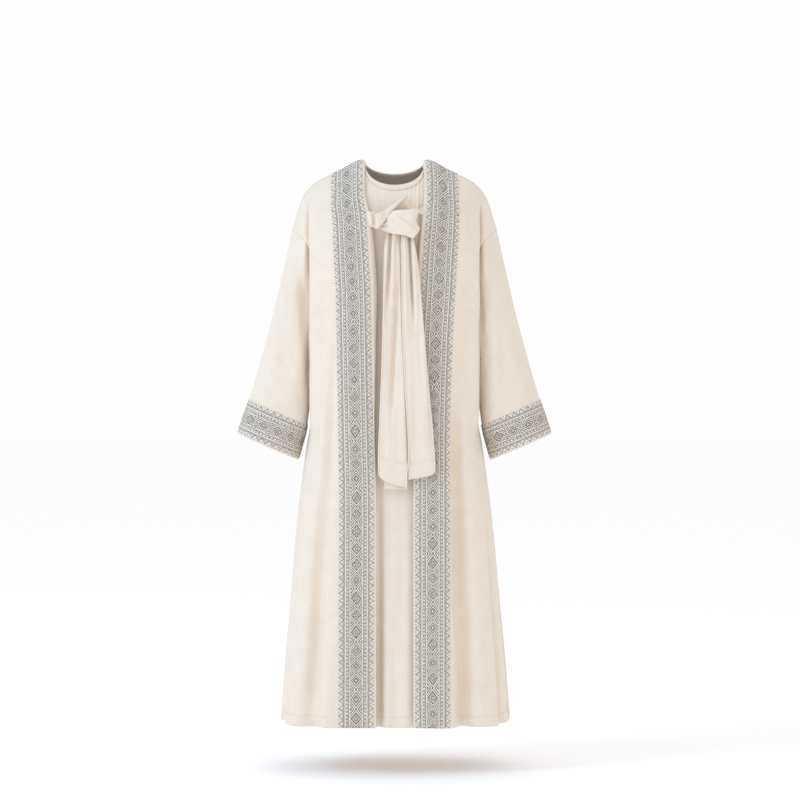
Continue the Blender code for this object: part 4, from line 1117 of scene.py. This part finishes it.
# The loop's upper and lower edges at shares of its length, and how its far end is waisted.
LOOP = {
    "along": (0, 0.1, 0.2, 0.3, 0.42, 0.6, 0.78, 0.92, 1),
    "top_out": (-22.4, -16.8, -10.4, -4.8, 1.1, 13.9, 26.8, 34.9, 37.4),
    "top_down": (116.6, 108.6, 100.2, 94.4, 90.6, 89.8, 89.0, 87.2, 86.9),
    "low_out": (-21.8, -16.7, -11.8, -5.4, 4.3, 16.3, 26.5, 30.4, 34.0),
    "low_down": (120.4, 123.4, 125.6, 127.9, 129.3, 130.8, 134.6, 135.8, 130.5),
    "front": (103.5, 104.5, 106.0, 108.2, 110.4, 112.8, 113.4, 110.8, 107.5),
}
LOOP_END = {"down": (0, 0.12, 0.3, 0.45, 0.6, 0.77, 0.9, 1),
            "out": (0, 0.7, -1.1, -2.0, 1.0, 5.2, 2.6, -1.6)}
# Creases by distance out and down.
LOOP_CREASES = ((0, 90.5, 39, 121, 1.7, -1.5, -2.5), (-2, 92.5, 37, 126, 3.6, 1.4, -2.5),
                (12, 88, 40, 112, 3.0, 0.6, 0), (-26, 118, 8, 121, 1.2, 1.5, 0.5),
                (-26, 119, -2, 126, 1.1, -1.3, 0.4), (-26, 118, 0, 129, 1.1, 1.1, 0.3),
                (-25, 115, 2, 107, 1.3, 1.1, 0.6), (-24, 117, -1, 113, 1.1, -1.0, 0.4),
                (20, 144, 34, 112, 3.0, -1.0, 0), (4, 108, 26, 120, 3.4, -0.4, 1))
# The hanging ends: where each runs from and to at depths below the shoulder, how far forward it hangs, how
# low it ends across its width, and where its hem is sewn at its left and right edge. The flutes below each
# are its folds by distance out and down.
LEFT_TAIL = {
    "down": (118, 132, 154, 232, 335, 436, 488, 517, 538),
    "from": (-12, -13.2, -16.6, -18.2, -20.8, -24.7, -26.5, -26.3, -26.0),
    "to": (7.5, 9.5, 12.5, 14.5, 18.5, 23.0, 24.0, 21.6, 20.8),
    "front": (98.5, 99.5, 102, 104, 105.5, 106.5, 107, 107, 107),
    "across": (0, 0.12, 0.45, 1), "end": (517.0, 524.0, 532.4, 537.6), "hem": (487.0, 500.0),
}
LEFT_FLUTES = ((-9, 40, -18, 330, 3.0, 2.6, 0), (-4.4, 40, -11, 262, 1.5, -4.6, 1),
               (-0.9, 40, -6, 250, 1.9, 2.4, 1), (2.7, 40, -15, 285, 1.8, -7.5, -2.5),
               (5.8, 40, -3, 262, 1.5, 2.6, -1.2), (9.0, 170, -6, 455, 4.0, -6.5, -2),
               (-16, 230, -21, 500, 5, 1.3, 0), (13, 290, 15, 525, 4, 1.2, 0),
               (-12, 330, -8, 530, 4.0, 0.9, 0), (-23, 300, -24, 500, 2.5, -0.9, 0),
               (3, 380, 5, 530, 3.5, -0.7, 1))
RIGHT_TAIL = {
    "down": (118, 132, 170, 252, 360, 475, 505, 519),
    "from": (9.8, 10.3, 11.0, 11.6, 15.6, 22.0, 22.5, 22.8),
    "to": (27, 30, 37.8, 45.5, 54.5, 64.8, 66.3, 66.0),
    "front": (98.8, 100.8, 102.3, 104, 106, 107, 107, 107),
    "across": (0, 0.5, 0.8, 0.93, 1), "end": (524.6, 521.4, 518.2, 515.2, 511.5), "hem": (499.5, 490.5),
}
RIGHT_FLUTES = ((14.9, 40, 21, 330, 3.0, 2.4, 0), (19.6, 40, 32, 300, 2.1, -8.5, 0),
                (25.8, 40, 41, 330, 2.6, 2.6, 0), (30, 150, 45, 400, 3.0, -1.2, 1),
                (37, 140, 54, 440, 2.8, 1.2, 1), (22, 260, 28, 515, 4.5, 0.8, 1),
                (33, 300, 36, 520, 5, -0.9, -1), (44, 330, 50, 515, 5, 0.9, 1), (57, 400, 61, 520, 3, -0.7, 0))
UNDER_TAIL = {
    "down": (128, 240, 360, 470, 520, 540),
    "from": (-10, -13, -15, -16.5, -16.6, -16.6),
    "to": (7, 9, 12, 18, 20, 20.3),
    "front": (94.4, 95.8, 98, 101, 102.8, 103.3),
    "across": (0, 0.5, 1), "end": (539.4, 540.4, 540.4), "hem": (511.0, 512.0),
}


def tie_cloth(name, node, grid, u, v, flat, held, rests_on, area=None):
    """One stretch of the tie as a thin piece of linen that faces forward."""
    piece = cloth_shell(name, grid, outward(grid), u, v, TIE_WALL, cream_linen)
    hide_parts(node)
    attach(piece, "root")
    return piece


# The bands where they leave the fronts' edges. The right one spreads from the knot to the edge, and the
# left one comes forward to the knot.
out = np.linspace(20, 53, 40)
down = np.linspace(0, 1, 16)[:, None]
spreads = 1.2 + 5.6 * ease((out - 36) / 11)
strap = np.stack(np.broadcast_arrays(
    out, -80.4 - 6.7 * ease((44 - out) / 17) - 0.7 * np.cos(down * 9.4) * ease((44 - out) / 20),
    -(89.6 + (47 - out) * 0.15 + (2 * down - 1) * spreads)), axis=2)
tie_cloth("tie_strap_right_cloth", "tie_strap_right", strap,
          *spread(out + TIE_CUT_FROM["strap_right"], down * 13, *strap.shape[:2]),
          (0.038, 0.014), "stretched", ["front_right_cloth"], 0.00037)
out = np.linspace(54, 31, 30)
down = np.linspace(0, 1, 18)[:, None]
strap = np.stack(np.broadcast_arrays(
    -out, -75.7 - 13.0 * ease((38.5 - out) / 7.5), -(90 + 20 * down)), axis=2)
tie_cloth("tie_strap_left_cloth", "tie_strap_left", strap,
          *spread(out + TIE_CUT_FROM["strap_left"], down * 20, *strap.shape[:2]),
          (0.028, 0.021), "stretched", ["front_left_cloth"])

# The knot, wound from the gathered band.
KNOT_ROUND = 72
stations = np.linspace(-43.4, -17.4, 60)
angles = np.linspace(0, 360, KNOT_ROUND, endpoint=False)
half_height, half_depth, down = (through(KNOT, "out", key, stations)[:, None]
                                 for key in ("half_height", "half_depth", "down"))
lift = crease_height(stations[:, None], angles[None], KNOT_CREASES)
turn = np.radians(angles)[None]
depth = (half_depth + lift) * np.abs(np.sin(turn)) ** 0.85 * np.sign(np.sin(turn))
height = (half_height + 0.3 * lift) * np.abs(np.cos(turn)) ** 0.85 * np.sign(np.cos(turn))
points = np.stack([np.broadcast_to(stations[:, None], depth.shape), -KNOT_FRONT - depth, -down + height],
                  axis=2)
mesh = bpy.data.meshes.new("tie_knot_cloth")
last = len(stations) - 1
faces = []
for r in range(last):
    for c in range(KNOT_ROUND):
        a, b = r * KNOT_ROUND + c, r * KNOT_ROUND + (c + 1) % KNOT_ROUND
        faces.append((a, b, b + KNOT_ROUND, a + KNOT_ROUND))
faces += [tuple(reversed(range(KNOT_ROUND))), tuple(last * KNOT_ROUND + c for c in range(KNOT_ROUND))]
mesh.from_pydata([tuple(p) for p in points.reshape(-1, 3) * MM], [], faces)
mesh.polygons.foreach_set("use_smooth", [True] * len(faces))
layer = mesh.uv_layers.new(name="cut")
corner = np.array([loop.vertex_index for loop in mesh.loops])
layer.data.foreach_set("uv", np.stack([corner // KNOT_ROUND * 0.44 + TIE_CUT_FROM["knot"],
                                       corner % KNOT_ROUND * 1.1], axis=1).ravel() * MM)
mesh.materials.append(cream_linen)
mesh.update()
piece = bpy.data.objects.new("tie_knot_cloth", mesh)
bpy.context.collection.objects.link(piece)
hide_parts("tie_knot")
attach(piece, "root")

# The short end: a strip folded along its top edge, which comes over the knot. Its mouth opens to the right.
WING_PLACES = np.concatenate([np.linspace(0, 0.2, 18), np.linspace(0.22, 1, 34)])
up_face = np.linspace(0, 0.93, 14)
columns = []
for along in WING_PLACES:
    low, top, rear = (np.array([through(WING, "along", key + "_out", along),
                                -through(WING, "along", key + "_front", along),
                                -through(WING, "along", key + "_down", along)])
                      for key in ("low", "top", "rear"))
    bulge = 2.2 + 4.0 * ease((0.4 - along) / 0.4) * ease(along / 0.06)
    rolled = 6.0 * ease((along - 0.93) / 0.07)
    crease = 0.7 * math.sin(along * 5) * np.exp(-((up_face - 0.55) / 0.12) ** 2)
    crease = crease + 0.55 * ease((0.4 - along) / 0.25) * np.cos(up_face * 17)
    face = [low + (top - low) * q - np.array([0, bulge * math.sin(math.pi * q) - pressed, 0])
            for q, pressed in zip(up_face, crease)]
    fold = [top + np.array([0.35, 0.5, 0.35]), top + np.array([0.7, 1.3, 0.5])]
    inside = [top + (rear - top) * q + np.array([0.8, 2.2 * (1 - q) + 3.2 * math.sin(math.pi * q) + rolled, 0])
              for q in np.linspace(0.08, 1, 14)]
    columns.append(face + fold + inside)
grid = np.array(columns).transpose(1, 0, 2)[::-1]
u, v = spread(TIE_CUT_FROM["wing"] + 70 * WING_PLACES, np.linspace(0, 50, len(grid)), *grid.shape[:2])
tie_cloth("tie_wing_cloth", "tie_wing", grid, u, v, (0.06, 0.045), "folded", ["tie_knot_cloth"])

# The loop runs right from the knot, turns back on itself and returns behind.
front_run = np.concatenate([np.linspace(0, 0.96, 46), [0.98, 0.992]])
run = [(a, 0.0) for a in front_run] + [(1.0, 0.2), (1.0, 0.5), (1.0, 0.8)] + [
    (a, 1.0) for a in np.linspace(0.985, 0.3, 26)]
rows = []
for q in np.linspace(0, 1, 44):
    row = []
    for along, back in run:
        top_out, top_down, low_out, low_down, forward = (
            through(LOOP, "along", key, along)
            for key in ("top_out", "top_down", "low_out", "low_down", "front"))
        waist = float(through(LOOP_END, "down", "out", q)) * ease((along - 0.55) / 0.45)
        x = top_out + (low_out - top_out) * q + waist + 1.3 * math.sin(math.pi * back)
        down = top_down + (low_down - top_down) * q
        bulge = 4.6 * math.sin(math.pi * q) ** 0.8 * ease(along / 0.3)
        deep = (3.0 + 4.2 * ease(along)) * back
        crease = 1.35 * float(crease_height(x, down, LOOP_CREASES)) * (1 - back)
        crease *= ease(min(q, 1 - q) / 0.06)
        row.append((x, -forward - bulge * (1 - 1.25 * back) - crease + deep, -down))
    rows.append(row)
grid = np.array(rows)
u, v = spread(TIE_CUT_FROM["loop"] + np.linspace(0, 110, len(run)), np.linspace(0, 46, len(rows)),
              *grid.shape[:2])
tie_cloth("tie_loop_cloth", "tie_loop", grid, u, v, (0.10, 0.045), "folded", ["tie_knot_cloth"])


# The rows of stitching lie this far in from an end's edges, or on this column from them, and the lowest
# one is among the rows from the last number down.
TAIL_STITCHING_IN = 3.2
TAIL_STITCHED_COLUMN = 4
TAIL_LOWER_ROWS = 100


def hanging_end(table, flutes, columns, rows, over=0.0, under=0.0):
    """A hanging end's outer points and places: its listed flutes, a rolled edge and a stitched hem.

    Its left edge stands out by over, and its right edge tucks in by under.
    """
    start = table["down"][0]
    share = np.unique(np.concatenate([np.linspace(0, 0.985, rows), [0.99, 0.994, 0.997, 1.0]]))[:, None]
    across = np.unique(np.concatenate([[0, 0.01, 0.02, 0.035], np.linspace(0.05, 0.95, columns),
                                       [0.965, 0.98, 0.99, 1.0]]))[None]
    down = start + share * (through(table, "across", "end", across) - start)
    left, right, forward = (through(table, "down", key, down) for key in ("from", "to", "front"))
    x = left + (right - left) * across
    lift = 1.3 * crease_height(x, down, flutes)
    edge = np.minimum(np.minimum(across, 1 - across) * (right - left),
                      through(table, "across", "end", across) - down)
    lift += 0.55 * np.exp(-((edge - 1.1) / 0.9) ** 2) - 0.9 * np.exp(-(edge / 0.5) ** 2)
    lift += sewn_groove(edge - TAIL_STITCHING_IN, 0.8, 0.5)
    hem = table["hem"][0] + (table["hem"][1] - table["hem"][0]) * across
    lift += sewn_groove(down - hem, 1.0, 0.7) + 0.7 * ease((down - hem) / 2)
    lift += over * np.exp(-((x - left) / 6.0) ** 2)
    lift -= under * ease((x - right + 5.5) / 4.0) * ease((505 - down) / 12)
    return np.stack([x, -forward - lift, -down], axis=2), x, down, edge


# The right end lies over the left one. Each is topstitched down both edges, along its lower edge and hem.
for word, table, flutes, over, under, area in (("left", LEFT_TAIL, LEFT_FLUTES, 0.0, 2.8, 0.021),
                                               ("right", RIGHT_TAIL, RIGHT_FLUTES, 1.6, 0.0, 0.018)):
    grid, x, down, edge = hanging_end(table, flutes, 44, 190, over, under)
    tie_cloth("tail_" + word + "_cloth", "tail_" + word, grid, x + TIE_CUT_FROM["tail_" + word], down,
              (0.058, 0.42), "hung", ["tie_knot_cloth"], area)
    normals = outward(grid)
    lines = [(grid[:, c], normals[:, c]) for c in (TAIL_STITCHED_COLUMN, -1 - TAIL_STITCHED_COLUMN)]
    pick = np.arange(TAIL_STITCHED_COLUMN, down.shape[1] - TAIL_STITCHED_COLUMN)
    hem_row = np.argmin(np.abs(down - np.linspace(*table["hem"], down.shape[1])), axis=0)
    low_row = np.argmin(np.abs(edge[TAIL_LOWER_ROWS:] - TAIL_STITCHING_IN), axis=0) + TAIL_LOWER_ROWS
    lines += [(grid[row[pick], pick], normals[row[pick], pick]) for row in (hem_row, low_row)]
    stitches("tail_" + word + "_stitching", lines, pitch=3.0, half=0.2)
grid, x, down, _ = hanging_end(UNDER_TAIL, (), 24, 120)
tie_cloth("tail_under_cloth", "tail_under", grid, x + TIE_CUT_FROM["tail_under"], down, (0.036, 0.42), "hung",
          ["tie_knot_cloth"])

# The room. A plain pale floor that glows a little, and one soft broad light from the upper left, in a white
# room that is brighter overhead, with the camera straight in front at half the robe's height. Metres here.
CAMERA_AT = (0.0091, -4.5, -0.396)
CAMERA_LENS = 122.73
FLOOR_LEVEL = -1.0
FLOOR_REACH = 40.0
FLOOR_SIDES = 64

floor_mesh = bpy.data.meshes.new("floor")
ring = [(math.cos(a) * FLOOR_REACH, math.sin(a) * FLOOR_REACH, FLOOR_LEVEL)
        for a in np.linspace(0, 2 * math.pi, FLOOR_SIDES, endpoint=False)]
floor_mesh.from_pydata(ring, [], [tuple(range(FLOOR_SIDES))])
floor = bpy.data.objects.new("floor", floor_mesh)
bpy.context.collection.objects.link(floor)
floor_material = bpy.data.materials.new("pale_floor")
floor_material.use_nodes = True
floor_shader = floor_material.node_tree.nodes["Principled BSDF"]
floor_shader.inputs["Base Color"].default_value = (0.93, 0.93, 0.93, 1)
floor_shader.inputs["Roughness"].default_value = 0.9
floor_shader.inputs["Specular IOR Level"].default_value = 0.0
floor_shader.inputs["Emission Color"].default_value = (1, 0.9, 0.88, 1)
floor_shader.inputs["Emission Strength"].default_value = 0.215
floor_mesh.materials.append(floor_material)

world = bpy.data.worlds.new("white_room")
bpy.context.scene.world = world
world.use_nodes = True
sky = world.node_tree
plain = sky.nodes["Background"]
aim = sky.nodes.new("ShaderNodeTexCoord")
upward = sky.nodes.new("ShaderNodeSeparateXYZ")
sky.links.new(aim.outputs["Generated"], upward.inputs["Vector"])
# From the level of the eye to straight overhead.
overhead = Thread(sky, upward.outputs["Z"]).step(0.0, 1.0)
sky.links.new(blended(sky, overhead, (0.942, 0.922, 0.905), (1.12, 1.16, 1.205)), plain.inputs["Color"])
plain.inputs["Strength"].default_value = 0.768
# The backdrop that the camera sees is plain white.
seen = sky.nodes.new("ShaderNodeBackground")
seen.inputs["Color"].default_value = (1, 1, 1, 1)
seen.inputs["Strength"].default_value = 0.985
ray = sky.nodes.new("ShaderNodeLightPath")
either = sky.nodes.new("ShaderNodeMixShader")
sky.links.new(ray.outputs["Is Camera Ray"], either.inputs["Fac"])
sky.links.new(plain.outputs["Background"], either.inputs[1])
sky.links.new(seen.outputs["Background"], either.inputs[2])
sky.links.new(either.outputs["Shader"], sky.nodes["World Output"].inputs["Surface"])


def soft_light(name, at, target, size, watts, colour):
    """A square soft box that faces a point."""
    lamp = bpy.data.lights.new(name, "AREA")
    lamp.color = colour
    lamp.size = size
    lamp.energy = watts
    holder = bpy.data.objects.new(name, lamp)
    gaze = np.array(target) - np.array(at)
    holder.location = at
    holder.rotation_euler = (math.atan2(math.hypot(gaze[0], gaze[1]), -gaze[2]), 0,
                             math.atan2(-gaze[0], gaze[1]))
    bpy.context.collection.objects.link(holder)


soft_light("upper_left_light", (-3.4, -2.0, 2.0), (0, 0, -0.45), 1.5, 53, (0.475, 0.73, 1.0))

camera_data = bpy.data.cameras.new("camera")
camera_data.lens = CAMERA_LENS
camera_data.sensor_width = 36
camera = bpy.data.objects.new("camera", camera_data)
camera.location = CAMERA_AT
camera.rotation_euler = (math.pi / 2, 0, 0)
bpy.context.collection.objects.link(camera)
bpy.context.scene.camera = camera
bpy.context.scene.view_settings.view_transform = "Standard"
